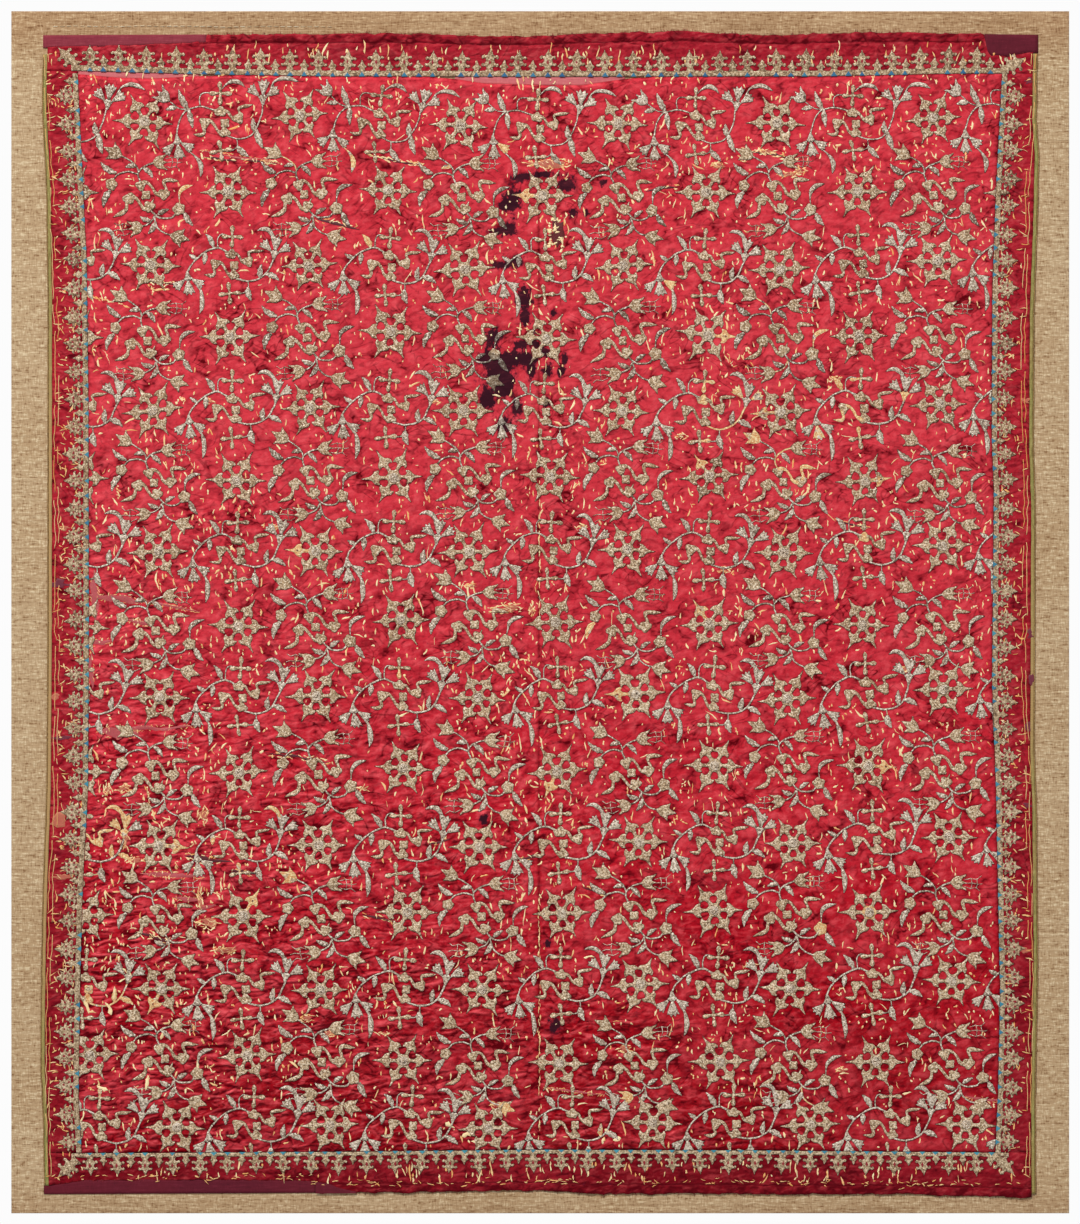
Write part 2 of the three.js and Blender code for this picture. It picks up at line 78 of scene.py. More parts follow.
class Paint:
    def __init__(self, name):
        self.material = bpy.data.materials.new(name)
        self.material.use_nodes = True
        self.tree = self.material.node_tree
        self.tree.nodes.clear()
        self.where = self.node("ShaderNodeTexCoord", output="Object")

    def node(self, kind, settings=None, sockets=None, output=0):
        made = self.tree.nodes.new(kind)
        for key, value in (settings or {}).items():
            if key == "stops":
                ramp = made.color_ramp.elements
                while len(ramp) < len(value):
                    ramp.new(0.5)
                for stop, (position, color) in zip(ramp, value):
                    stop.position = position
                    stop.color = color
            else:
                setattr(made, key, value)
        for key, value in (sockets or {}).items():
            if isinstance(value, Value):
                self.tree.links.new(value.socket, made.inputs[key])
            else:
                made.inputs[key].default_value = value
        return Value(self, made.outputs[output])

    def noise(self, size, detail=2.0, rough=0.5, turn=0, bent=0.0, shift=0.0):  # size in mm
        where = self.node("ShaderNodeMapping", {"vector_type": "TEXTURE"}, {
            "Vector": self.where, "Rotation": (0, 0, np.radians(turn)), "Scale": [s / 1000 for s in size],
            "Location": (0, -shift / 1000, 0)})
        return self.node("ShaderNodeTexNoise", {"noise_dimensions": "3D"}, {
            "Vector": where, "Scale": 1.0, "Detail": detail, "Roughness": rough, "Distortion": bent})

    def field(self, name):
        return self.node("ShaderNodeAttribute", {"attribute_name": name}, output="Fac")

    def smooth(self, value, low, high, to=(0.0, 1.0)):
        return self.node("ShaderNodeMapRange", {"interpolation_type": "SMOOTHSTEP"}, {
            "Value": value, "From Min": low, "From Max": high, "To Min": to[0], "To Max": to[1]})

    def blend(self, factor, first, second, how="MIX"):
        return self.node("ShaderNodeMix", {"data_type": "RGBA", "blend_type": how, "clamp_factor": True},
                         {0: factor, 6: first, 7: second}, output=2)

    def axis(self, name):
        return self.node("ShaderNodeSeparateXYZ", sockets={0: self.where}, output=name)

    def layers(self, color, *rows):  # lays colours over a colour, each where its mask is high
        for mask, over in rows:
            color = self.blend(mask, color, rgb(*over))
        return color

    def bump(self, height, distance):
        return self.node("ShaderNodeBump", sockets={"Height": height, "Distance": distance})

    def finish(self, sockets):
        shader = self.node("ShaderNodeBsdfPrincipled", sockets=sockets)
        out = self.tree.nodes.new("ShaderNodeOutputMaterial")
        self.tree.links.new(shader.socket, out.inputs["Surface"])
        return self.material


def rgb(red, green, blue):  # screen colour 0-255 to linear
    share = np.array([red, green, blue]) / 255
    linear = np.where(share <= 0.04045, share / 12.92, ((share + 0.055) / 1.055) ** 2.4)
    return (*linear.tolist(), 1.0)


# Where the cloths end: rows of (place along the edge, how far out).
edges = {
    "outerLeft": [(822, -706), (720, -708), (600, -702), (450, -700), (0, -700), (-250, -701.5),
                  (-330, -704.5), (-440, -708), (-570, -710), (-650, -710), (-720, -706.5), (-830, -704.5)],
    "outerRight": [(822, 707), (700, 705.5), (650, 709), (540, 706.5), (430, 702), (240, 701), (150, 704),
                   (-200, 702.5), (-270, 705.5), (-500, 707.5), (-700, 704), (-830, 704.5)],
    "guardLeft": [(769, -657), (600, -649), (500, -644), (300, -641.5), (-40, -641), (-250, -642),
                  (-400, -650), (-540, -653.5), (-690, -655.5), (-768, -651)],
    "guardRight": [(769, 656), (600, 647), (460, 642), (250, 641), (170, 644), (-100, 641.5), (-250, 647),
                   (-400, 650), (-540, 653), (-680, 650), (-768, 646)],
    "guardTop": [(-710, 769), (-657, 769), (-480, 764), (-300, 761), (0, 760.5), (400, 761), (600, 765),
                 (710, 765)],
    "guardBottom": [(-710, -768), (-651, -768), (-300, -766), (0, -763), (300, -764), (640, -767),
                    (710, -767)],
    "outerTop": [(-710, 819.5), (-376, 821), (-185, 822), (-57, 817), (71, 822), (198, 825), (262, 821.5),
                 (326, 820), (454, 824), (582, 822), (710, 820)],
    "outerBottom": [(-710, -826.5), (-200, -824), (-57, -822), (7, -820.5), (71, -826), (518, -826),
                    (582, -829), (710, -831)],
    "tornTop": [(-657, 5), (-600, 8.5), (-550, 8.5), (-485, 3), (-425, 0.4), (-160, 0.4), (-121, 3.4),
                (-80, 10), (0, 12), (60, 12.5), (120, 3.4), (160, 0.4), (656, 0.4)],
}
seamX = -1.5


def edge(name, at):
    rows = np.array(sorted(edges[name]), float)
    return np.interp(at, rows[:, 0], rows[:, 1])


def mix(a, b, t):
    return a + (b - a) * t


def ripple(x, y, size, seed):  # smooth random waves from -1 to 1
    lattice = np.random.default_rng(seed).random((97, 97)) * 2 - 1
    u, v = np.asarray(x, float) / size + 500, np.asarray(y, float) / size + 500
    i, j = np.floor(u).astype(int), np.floor(v).astype(int)
    s, t = u - i, v - j
    s, t = s * s * (3 - 2 * s), t * t * (3 - 2 * t)
    i0, i1, j0, j1 = i % 97, (i + 1) % 97, j % 97, (j + 1) % 97
    return mix(mix(lattice[j0, i0], lattice[j0, i1], s), mix(lattice[j1, i0], lattice[j1, i1], s), t)


# Motifs: a stroke is rows of (x, y, half width), a patch is corners.
def moved(rows, x, y, turn):
    c, s = np.cos(np.radians(turn)), np.sin(np.radians(turn))
    return [(x + c * px - s * py, y + s * px + c * py, *rest) for px, py, *rest in rows]


def mirrored(half):  # a right side from foot to tip, made whole about the Y axis
    return half + [(-x, y) for x, y in reversed(half)]


def stroke(*rows):
    return ("stroke", list(rows))


def patch(corners, x=0, y=0, turn=0):
    return ("patch", moved(corners, x, y, turn))


def fan(x, y, turn, length, spread):  # one head of a carnation, its far edge toothed
    rays = [(spread * (1 - k / 3), length * (0.98 if k in (0, 6) else 1) if k % 2 == 0 else 0.82 * length)
            for k in range(7)]
    tips = [(-r * np.sin(np.radians(a)), r * np.cos(np.radians(a))) for a, r in rays]
    return patch([(1.6, -1), *reversed(tips), (-1.6, -1)], x, y, turn)


def leaf(x0, y0, x1, y1, width, bow=0.0):  # from its stalk to its tip, bowed to the left of that way
    t = np.linspace(0, 1, 8)[:, None]
    foot, tip = np.array([x0, y0]), np.array([x1, y1])
    along = tip - foot
    left = np.array([-along[1], along[0]]) / np.hypot(*along)
    line = foot + along * t + left * 4 * bow * t * (1 - t)
    ahead = np.gradient(line, axis=0)
    side = np.column_stack([-ahead[:, 1], ahead[:, 0]]) / np.hypot(*ahead.T)[:, None]
    half = (width / 2 * np.sin(np.pi * np.clip(t, 0.05, 0.97) ** 0.75) ** 0.8
            * (1 + 0.12 * np.cos(7 * np.pi * t)))
    return ("patch", [tuple(place) for place in (*(line + side * half), *(line - side * half)[::-1])])


def carnation(x, y, turn):
    calyx = mirrored([(1.6, -1), (2.8, 3), (4.4, 7), (8.4, 12.6), (4.6, 11.8), (3, 14), (0.1, 12.4)])
    heads = moved([(-6.4, 12.5, 52), (0.4, 14, 0), (6.6, 12.5, -54)], x, y, turn)
    fans = [fan(hx, hy, turn + way, 19 if way else 21.5, 27) for hx, hy, way in heads]
    return [patch(calyx, x, y, turn), *fans]


flowerHalves = {
    "tulip": [(1.4, -1), (4.2, 1.5), (7.4, 4.8), (9, 8.4), (10.6, 12.6), (15.4, 17.6), (9.6, 16.4),
              (5.8, 15.8), (4.2, 18.4), (2.8, 22), (0.3, 28)],
    "bud": [(1.4, -1), (4.6, 1.6), (8, 5), (9.6, 9), (9.4, 13), (10.6, 17), (13, 22.5), (8.4, 19.4),
            (5.4, 15.4), (3, 14.6), (1.8, 17), (0.3, 21.5)],
}


def flower(name, x, y, turn):
    return patch(mirrored(flowerHalves[name]), x, y, turn)


def knob(x, y, size, lobes=6, turn=0.0):  # a round form with a lobed edge
    angles = np.radians(np.arange(0, 360, 15))
    reach = size * (0.94 + (0.1 if lobes > 4 else 0.17) * np.cos(lobes * (angles - np.radians(turn))))
    return patch(list(zip(reach * np.cos(angles), reach * np.sin(angles))), x, y)


def crossFlower(x, y, turn):
    lobe = [(0, 0, 3), (0, 5.5, 2.5), (0, 9.5, 4.2), (0, 12.6, 4.3), (0, 14.8, 2.4)]
    return [("stroke", moved(lobe, x, y, turn + quarter)) for quarter in (0, 92, 178, 268)]


petal = [(2.8, 8), (2.6, 13.6), (3, 17), (4.6, 19.2), (7, 19.4), (9.8, 17.8), (10.9, 19.6), (10.4, 22.8),
         (9.2, 25.6), (6.6, 27.6), (3.8, 29.8), (2.5, 32.6), (1.6, 37), (0.4, 44)]


def star():  # each is drawn anew, with petals a little uneven
    petals = []
    for turn in range(30, 390, 60):
        long, wide = random.uniform(0.94, 1.03), random.uniform(0.92, 1.04)
        corners = [(x * wide, y * long) for x, y in mirrored(petal)]
        petals.append(patch(corners, 0, 0, turn + random.uniform(-2.5, 2.5)))
    return [knob(0, 0, 11.2), *petals]


# The unit between two stars of a long row: a cloud band, two carnation stems and two small flowers.
longUnit = {
    "gold": [
        stroke((-5, 18, 4), (2, 15.5, 6.2), (8, 16.5, 3.8), (12, 14.5, 2.8), (15, 9, 2.7), (19, 4.5, 3.6),
               (26, 5.5, 6.4), (28, 12, 2.7), (27, 18.5, 3), (33, 20.5, 3.4), (41, 21, 3), (48, 22.5, 0.7)),
        knob(2, 16, 7.6, 3, 200), knob(26, 5.5, 7.8, 3, 50), knob(6.5, 0, 7, 4, 45),
        stroke((8, -15, 4), (2, -14.5, 5), (-4, -10.5, 2.9), (-7.5, -3, 2.8), (-12, 3, 3.2), (-17, 4.5, 4.4),
               (-22, 1, 6), (-23.5, -5, 3.4), (-22, -11, 3), (-25, -15, 3.6), (-31, -15, 3.2),
               (-38, -13.5, 0.7)),
        knob(6, -13.5, 7.6, 3, 100), knob(-21, 2, 8, 3, 20),
        *crossFlower(3, 41.5, -2), *crossFlower(-1, -40, 6),
    ],
    "silver": [
        stroke((-62, -9, 2.1), (-56, 2, 2), (-44, 14, 2), (-32, 21.5, 2.1), (-18, 25.5, 2.1), (-5, 20, 2.1)),
        stroke((9, -19, 2), (25, -22.5, 2.1), (40, -19.5, 2.1), (51.5, -11, 2.1), (58.5, 2.5, 2.1),
               (62, 11, 2)),
        stroke((-18, 25, 1.6), (-18, 39, 1.6), (-13, 44.5, 1.6), (-4, 43, 1.6)),
        stroke((26, -22, 1.6), (26, -32, 1.6), (22, -38.5, 1.6), (10, -40, 1.6)),
        *carnation(61, 9, -8), *carnation(-62, -9, 186),
        leaf(-36, 18, -38, 1, 8), leaf(43, -17, 45, 2, 8.4, 1), leaf(51.5, -12, 70, -22, 8.6, 2),
        leaf(26, -31, 31, -51, 10, -2), leaf(-24, 26, -37, 45, 8.6, -2), leaf(-48, 10, -61, 17, 6.5, 1),
        stroke((64, 22, 1.2), (62, 35, 2.4), (59, 45, 3.7), (52, 52, 4.4), (44, 53, 3.2), (37, 50, 0.6)),
        stroke((-48, -28, 1.2), (-43, -36, 2.4), (-40.5, -46, 4.3), (-40, -57, 4.5), (-41, -65, 2.8),
               (-43, -71, 0.5)),
    ],
    "threads": [],
}

# The silver of the topmost row, which has a bud more and its leaves turned the other way.
topSilver = [
    stroke((-65, -18, 1.9), (-63, -9, 1.8), (-59, 3, 1.8), (-53, 12, 1.8), (-45, 17, 1.8), (-28, 20, 1.8),
           (-9, 15, 1.8)),
    stroke((5, -23, 1.8), (18, -28, 1.8), (33, -26.5, 1.8), (42, -21, 1.8), (50, -8, 1.8), (55, 6, 1.8),
           (57, 18, 1.8)),
    stroke((-29, 20, 1.5), (-30, 33, 1.5), (-24, 38.5, 1.5), (-12, 38, 1.5)),
    stroke((18, -28, 1.5), (18, -39, 1.5), (12, -44, 1.5), (4, -45, 1.5)),
    stroke((-45, 17, 1.5), (-58, 19, 1.5), (-67, 26, 1.5), (-74, 32, 1.5)), flower("bud", -73, 31, 47),
    *carnation(58, 17, -8), *carnation(-65, -17, 184),
    leaf(-46, 17, -58, 46, 9.4, 1.5), leaf(-45, 17, -42, -9, 8.4), leaf(-62, 20, -78, 18, 8, -1.5),
    leaf(44, -20, 42, 0, 8.4, 1), leaf(46, -17, 54, -45, 9.4, -1.5), leaf(18, -39, 33, -56, 9.4, -1),
    stroke((70, 28, 1.2), (72, 38, 1.6), (78, 47, 2), (88, 50.5, 3.8), (100, 49, 4), (113, 42, 0.4)),
    stroke((2, 43, 1.2), (9, 49, 2), (18, 52.5, 4), (28, 50, 3.8), (36, 42, 0.4)),
    stroke((-54, -38, 1.2), (-46, -44, 1.6), (-38, -52, 3), (-34, -61, 4.8), (-34, -70, 3.6),
           (-36, -80, 0.4)),
]

# The unit between two stars of a short row: a cloud band, rosettes, tulips and buds with stamens.
shortUnit = {
    "gold": [
        stroke((-15, 10, 5), (-9, 13.5, 4.4), (-2, 12.5, 2.9), (4, 5.5, 2.8), (8, -2, 3.4), (14, -5, 4.6),
               (20, -3.5, 6), (23, 3, 3.2), (20.5, 10, 2.9), (21, 15.5, 4.2), (27, 16.5, 4), (34, 15.5, 3.4),
               (42, 15, 0.8)),
        knob(-13, 9, 8, 3, 160), knob(20, -4, 8.2, 3, 20), knob(-5.3, -5, 7.2, 4, 45),
        stroke((1, -22, 5), (-7, -25, 3.6), (-13, -18, 2.9), (-18, -10.5, 3.2), (-24, -6.5, 4.2),
               (-29.5, -9, 6), (-32, -17, 3.2), (-33.5, -25, 3.8), (-40, -30, 4.4), (-47, -32.5, 2.8),
               (-53, -35, 0.7)),
        stroke((2, -20, 3.4), (5.5, -11, 1)),
        knob(0, -22, 8.2, 3, 130), knob(-29, -9, 8.4, 3, 60),
        knob(-53, 11.5, 8.8, 5), knob(40, -25.5, 9.4, 5, 30), flower("bud", 5, 41.8, -88),
        flower("bud", -10, -50, 100),
        flower("tulip", -39, 51, 62), flower("tulip", 28, -62, -106),
    ],
    "silver": [
        stroke((-13, 12, 2), (-17.5, 25, 2), (-15, 32, 2), (-6.5, 38, 2), (6, 42, 1.9)),
        stroke((-18, 26, 2), (-29.5, 29.5, 2), (-42, 26.5, 2), (-49, 20, 1.8)),
        stroke((-17, 30, 1.8), (-20, 38, 1.8), (-29.5, 46, 1.8), (-40, 52, 1.7)),
        leaf(-54, 3, -65, -21, 9.4, -4), leaf(-46, 27, -67, 43, 9, 3), leaf(-10, 35, 4, 20, 8, 2),
        leaf(-20, 37, -35, 35, 7, -2),
        stroke((0, -24, 2), (7.5, -33, 2.1), (16, -38, 2), (30, -37, 2), (37, -30, 1.9)),
        stroke((7, -36, 2), (3, -43, 1.9), (-4, -48, 1.9), (-11, -50, 1.8)),
        stroke((7.5, -36, 2), (10.5, -50, 1.9), (19, -58.5, 1.9), (29, -62, 1.8)),
        leaf(12, -34, 27, -25, 7, 1.5), leaf(2, -41, -14, -35, 7.6, 2), leaf(48, -31, 60, -50, 9, -2),
        leaf(9, -43, -3, -60, 8, 2),
        stroke((41, -17, 1.4), (41, -8, 2), (43, 0, 3.8), (50, 6, 4.4), (57, 8, 2.8), (63, 9, 0.6)),
    ],
    "threads": [[(23, 47), (31, 49), (40, 48), (46, 53)], [(24, 42), (33, 42.5), (42, 41), (48, 42)],
                [(23, 37), (31, 34), (39, 36), (45, 31)], [(32, 50), (34, 42), (32, 33)],
                [(40, 49), (41, 41), (39, 34)],
                [(-29, -48), (-37, -45), (-45, -47), (-50, -43)],
                [(-30, -53), (-38, -54), (-46, -53), (-52, -55)],
                [(-28, -58), (-36, -62), (-44, -60), (-49, -64)], [(-38, -44), (-39, -53), (-37, -62)]],
}

palmetteHalves = {
    "long": [(9.5, -2), (6.4, 1), (4.4, 3.6), (4.2, 5.6), (6.6, 7.4), (9.4, 6), (12.4, 8.2), (11, 11.4),
             (8.2, 10.6), (6.4, 12.6), (5.4, 15.2), (7.4, 17.4), (10, 15.6), (12, 18.6), (9.4, 21.2),
             (6, 20.4), (4, 21.6), (3, 24.2), (1.4, 26.4), (0.3, 30.5)],
    "side": [(9.2, -2), (5.6, 1.4), (4.6, 3.4), (6, 4.6), (10, 3.4), (13.6, 5.8), (10.4, 8.6), (8.6, 10.4),
             (10.4, 11.8), (15.4, 11), (12.6, 15), (9, 15.2), (7.6, 17), (11, 21.6), (6, 20), (4, 20.8),
             (2.6, 24), (0.3, 29.5)],
    "small": [(9, -2), (4.6, 1), (3.8, 3), (4.4, 4.4), (7, 5.4), (5.4, 8), (2.8, 10), (2, 12.4), (0.3, 16.5)],
}


# How motifs are cut: lengths in mm. A stroke is worked a little thinner than it is drawn.
cutLook = {"thin": 0.84, "inset": 0.25, "gap": 0.1, "rim": 2.8, "ring": 1.0, "ringDeep": 0.6, "fillDeep": 1.9,
           "apart": 1.1, "snap": 0.05, "star": 3.4, "unit": 3.2, "border": 2.6}


def smoothLine(rows):  # a curve through rows of (x, y, half width), a point every 2 mm or so
    rows = np.array(rows, float)
    ends = np.vstack([2 * rows[0] - rows[1], rows, 2 * rows[-1] - rows[-2]])
    made = []
    for a, b, c, d in zip(ends, ends[1:], ends[2:], ends[3:]):
        steps = max(1, int(np.hypot(*(c - b)[:2]) / 2))
        for t in np.arange(steps) / steps:
            made.append(0.5 * (2 * b + (c - a) * t + (2 * a - 5 * b + 4 * c - d) * t**2
                               + (3 * b - a - 3 * c + d) * t**3))
    made.append(rows[-1])
    made = np.array(made)
    made[:, 2] = np.maximum(made[:, 2] * cutLook["thin"] - cutLook["inset"], cutLook["inset"])
    return made


def toSegment(x, y, start, end):  # how far points are from a segment, and how far along it
    (ax, ay), (bx, by) = start[:2], end[:2]
    dx, dy = bx - ax, by - ay
    t = np.clip(((x - ax) * dx + (y - ay) * dy) / (dx * dx + dy * dy + 1e-9), 0, 1)
    return np.hypot(x - ax - t * dx, y - ay - t * dy), t


def distanceTo(form, x, y):  # how far each point lies outside a stroke or patch, negative inside
    kind, rows = form
    best = np.full(x.shape, 1e9)
    if kind == "stroke":
        line = smoothLine(rows)
        for a, b in zip(line, line[1:]):
            away, t = toSegment(x, y, a, b)
            best = np.minimum(best, away - mix(a[2], b[2], t))
        return best
    inside = np.zeros(x.shape, bool)
    for a, b in zip(rows, rows[1:] + rows[:1]):
        (ax, ay), (bx, by) = a, b
        best = np.minimum(best, toSegment(x, y, a, b)[0])
        inside ^= ((ay > y) != (by > y)) & (x < (bx - ax) * (y - ay) / (by - ay + 1e-12) + ax)
    return np.where(inside, -best, best)


def outwards(ring):  # the way out of a closed ring at each of its points
    ahead = np.roll(ring, -1, axis=0) - np.roll(ring, 1, axis=0)
    out = np.column_stack([ahead[:, 1], -ahead[:, 0]]) / (np.hypot(*ahead.T)[:, None] + 1e-9)
    return out * np.sign((ring[:, 0] * np.roll(ring[:, 1], -1) - np.roll(ring[:, 0], -1) * ring[:, 1]).sum())


def outlineOf(form):  # a closed ring of points round a stroke or patch, widened for the dark line round it, a dark cord with painted shadow
    kind, rows = form
    if kind == "stroke":
        line = smoothLine(rows)
        ahead = np.gradient(line[:, :2], axis=0)
        ahead /= np.hypot(*ahead.T)[:, None] + 1e-9
        side = np.column_stack([-ahead[:, 1], ahead[:, 0]])
        half = line[:, 2:] + cutLook["gap"]
        first, last = line[0, :2] - ahead[0] * half[0], line[-1, :2] + ahead[-1] * half[-1]
        return np.vstack([line[:, :2] + side * half, [last], (line[:, :2] - side * half)[::-1], [first]])
    ring = []
    for a, b in zip(rows, rows[1:] + rows[:1]):
        steps = max(1, int(np.ceil(np.hypot(b[0] - a[0], b[1] - a[1]) / cutLook["rim"])))
        ring += [mix(np.array(a), np.array(b), k / steps) for k in range(steps)]
    ring = np.array(ring)
    return ring + outwards(ring) * cutLook["gap"]


def cutMotif(forms, cell):  # a flat mesh of the joined forms, with each point's depth inside the outline
    def measure(x, y):
        each = np.array([distanceTo(form, x, y) for form in forms]) - cutLook["gap"]
        return each.min(axis=0), each.argmin(axis=0)

    rings = [outlineOf(form) for form in forms]
    every = np.vstack(rings)
    links, count = [], 0
    for ring in rings:
        links += [(count + k, count + (k + 1) % len(ring)) for k in range(len(ring))]
        count += len(ring)
    inner = np.vstack([ring - outwards(ring) * cutLook["ring"] for ring in rings])
    low, high = every.min(axis=0), every.max(axis=0)
    gx, gy = np.meshgrid(np.arange(low[0], high[0], cell), np.arange(low[1], high[1], cell * 0.87))
    gx = gx + (np.arange(len(gx)) % 2)[:, None] * cell / 2  # every other row half a cell on
    fill = np.column_stack([gx.ravel(), gy.ravel()])
    inner = inner[measure(*inner.T)[0] < -cutLook["ringDeep"]]
    fill = fill[measure(*fill.T)[0] < -cutLook["fillDeep"]]
    loose = {}
    for place in (*inner, *fill):
        loose.setdefault((round(place[0] / cutLook["apart"]), round(place[1] / cutLook["apart"])), place)
    places = [Vector(place) for place in (*every, *loose.values())]
    points, _, faces, *_ = delaunay_2d_cdt(places, links, [], 0, cutLook["snap"])
    points, faces = np.array(points), np.array(faces)
    faces = faces[measure(*points[faces].mean(axis=1).T)[0] < 0.02]
    body, owner = measure(*points.T)
    return {"points": points, "faces": faces, "depth": np.maximum(-body, 0), "owner": owner,
            "owners": len(forms)}


def handDrawn(x, y):  # a small wander, so that no two copies are the same
    return (x + 1.7 * ripple(x, y, 63, 11) + 0.7 * ripple(x, y, 21, 12) + 0.4 * ripple(x, y, 6, 15),
            y + 1.7 * ripple(x, y, 63, 13) + 0.7 * ripple(x, y, 21, 14) + 0.4 * ripple(x, y, 6, 16))


# Where the metal is lost and the padding shows: x, y, reach, chance.
lossPlaces = [(248, 316, 95, 0.5), (390, 287, 110, 0.4), (-608, -316, 62, 0.9), (-611, -558, 45, 0.8),
              (-111, -738, 30, 0.5), (102, -745, 22, 0.6), (-440, -366, 40, 0.35), (330, 250, 60, 0.3)]


def lossChance(x, y):
    return 0.007 + sum(chance * np.exp(-((x - px) ** 2 + (y - py) ** 2) / (2 * (reach / 2) ** 2))
                       for px, py, reach, chance in lossPlaces)


class Pile:  # copies of flat motifs that end up in one mesh
    def __init__(self):
        self.points, self.depth, self.tone, self.lost, self.faces, self.count = [], [], [], [], [], 0

    def add(self, motif, x, y, turn=0.0, size=1.0, tone=0.5, leave=()):
        c, s = np.cos(np.radians(turn)) * size, np.sin(np.radians(turn)) * size
        px, py = motif["points"].T
        wx, wy = handDrawn(x + c * px - s * py, y + s * px + c * py)
        owned = [motif["owner"] == k for k in range(motif["owners"])]
        middles = np.array([(wx[own].mean(), wy[own].mean()) if own.any() else (x, y) for own in owned])
        gone = random.random(len(owned)) < lossChance(*middles.T)
        self.points.append(np.column_stack([wx, wy]))
        self.depth.append(motif["depth"] * size)
        tones = tone + random.uniform(-0.3, 0.3) + random.uniform(-0.25, 0.25, len(owned))
        tones -= 0.5 * np.exp(-((x + 480) ** 2 + (y + 640) ** 2) / 190**2)  # the lower left is blackened
        self.tone.append(np.clip(tones, 0, 1)[motif["owner"]])
        self.lost.append(gone[motif["owner"]].astype(float))
        kept = ~np.isin(motif["owner"][motif["faces"]], leave).any(axis=1)
        self.faces.append(motif["faces"][kept] + self.count)
        self.count += len(px)

    def gathered(self):
        self.points = np.vstack(self.points)
        self.faces = np.vstack(self.faces)
        self.depth, self.tone, self.lost = (np.concatenate(v) for v in (self.depth, self.tone, self.lost))
        return self

    def keptIn(self, low, high):  # low(x, y) and high(x, y) give the limits, and what crosses is cut there
        x, y = self.points.T
        leftX, lowY = low(x, y)
        rightX, highY = high(x, y)
        ok = (x > leftX) & (x < rightX) & (y > lowY) & (y < highY)
        self.faces = self.faces[ok[self.faces].any(axis=1)]
        self.points = np.column_stack([np.clip(x, leftX, rightX), np.clip(y, lowY, highY)])
        return self


def facingUp(points, faces):  # each face of an open surface turned to face up
    x, y = np.asarray(points)[:, 0], np.asarray(points)[:, 1]
    turned = []
    for face in faces:
        ring = np.asarray(face)
        area = (x[ring] * np.roll(y[ring], -1) - np.roll(x[ring], -1) * y[ring]).sum()
        turned.append(ring if area > 0 else ring[::-1])
    return turned


def addMesh(name, points, faces, values, material):
    mesh = bpy.data.meshes.new(name)
    sizes = np.array([len(face) for face in faces])
    corners = np.concatenate([np.asarray(face) for face in faces]).astype(np.int32)
    used = np.unique(corners)
    renumber = np.zeros(len(points), np.int32)
    renumber[used] = np.arange(len(used))
    mesh.vertices.add(len(used))
    mesh.vertices.foreach_set("co", (np.asarray(points)[used] * 0.001).astype(np.float32).ravel())
    mesh.loops.add(len(corners))
    mesh.loops.foreach_set("vertex_index", renumber[corners])
    mesh.polygons.add(len(sizes))
    mesh.polygons.foreach_set("loop_start", np.concatenate([[0], np.cumsum(sizes)[:-1]]).astype(np.int32))
    mesh.polygons.foreach_set("loop_total", sizes.astype(np.int32))
    mesh.polygons.foreach_set("use_smooth", np.ones(len(sizes), bool))
    for key, value in values.items():
        data = mesh.attributes.new(key, "FLOAT", "POINT").data
        data.foreach_set("value", np.asarray(value)[used].astype(np.float32))
    mesh.update(calc_edges=True)
    mesh.validate()
    made = bpy.data.objects.new(name, mesh)
    bpy.context.scene.collection.objects.link(made)
    mesh.materials.append(material)
    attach(made, "root")
    print(f"{name}: {int((sizes - 2).sum())} triangles")
    return made


# The places of the stars, row by row from the top.
starRows = [
    [(-563, 696), (-341, 705), (-114, 690), (110, 693), (336, 695), (558, 702)],
    [(-443, 597), (-216, 598), (4, 591), (234, 597), (451, 597)],
    [(-553, 493), (-328, 493), (-107, 487), (118, 492), (340, 487), (563, 499)],
    [(-439, 391), (-213, 397), (8, 388), (238, 394), (453, 391)],
    [(-550, 287), (-326, 290), (-110, 286), (116, 286), (343, 284), (566, 294)],
    [(-431, 189), (-209, 193), (14, 192), (241, 192), (460, 188)],
    [(-544, 86), (-321, 87), (-101, 86), (123, 88), (346, 84), (572, 95)],
    [(-429, -20), (-196, -11), (20, -15), (240, -17), (457, -17)],
    [(-540, -122), (-317, -119), (-88, -122), (135, -115), (350, -123), (573, -109)],
    [(-428, -227), (-193, -221), (24, -225), (247, -218), (465, -218)],
    [(-540, -332), (-316, -331), (-87, -332), (139, -325), (359, -329), (582, -318)],
    [(-422, -431), (-188, -426), (31, -427), (247, -423), (467, -426)],
    [(-537, -535), (-311, -535), (-83, -535), (142, -528), (356, -535), (585, -524)],
    [(-416, -629), (-195, -636), (27, -641), (254, -637), (475, -637)],
    [(-517, -731), (-299, -727), (-74, -732), (160, -725), (383, -727), (605, -728)],
]
starPitch = 224

starCuts = [cutMotif(star(), cutLook["star"]) for _ in range(5)]
topCut = cutMotif(topSilver, cutLook["unit"])
unitCuts = {name: {key: cutMotif(unit[key], cutLook["unit"]) for key in ("gold", "silver")}
            for name, unit in (("long", longUnit), ("short", shortUnit))}
print("motifs cut")

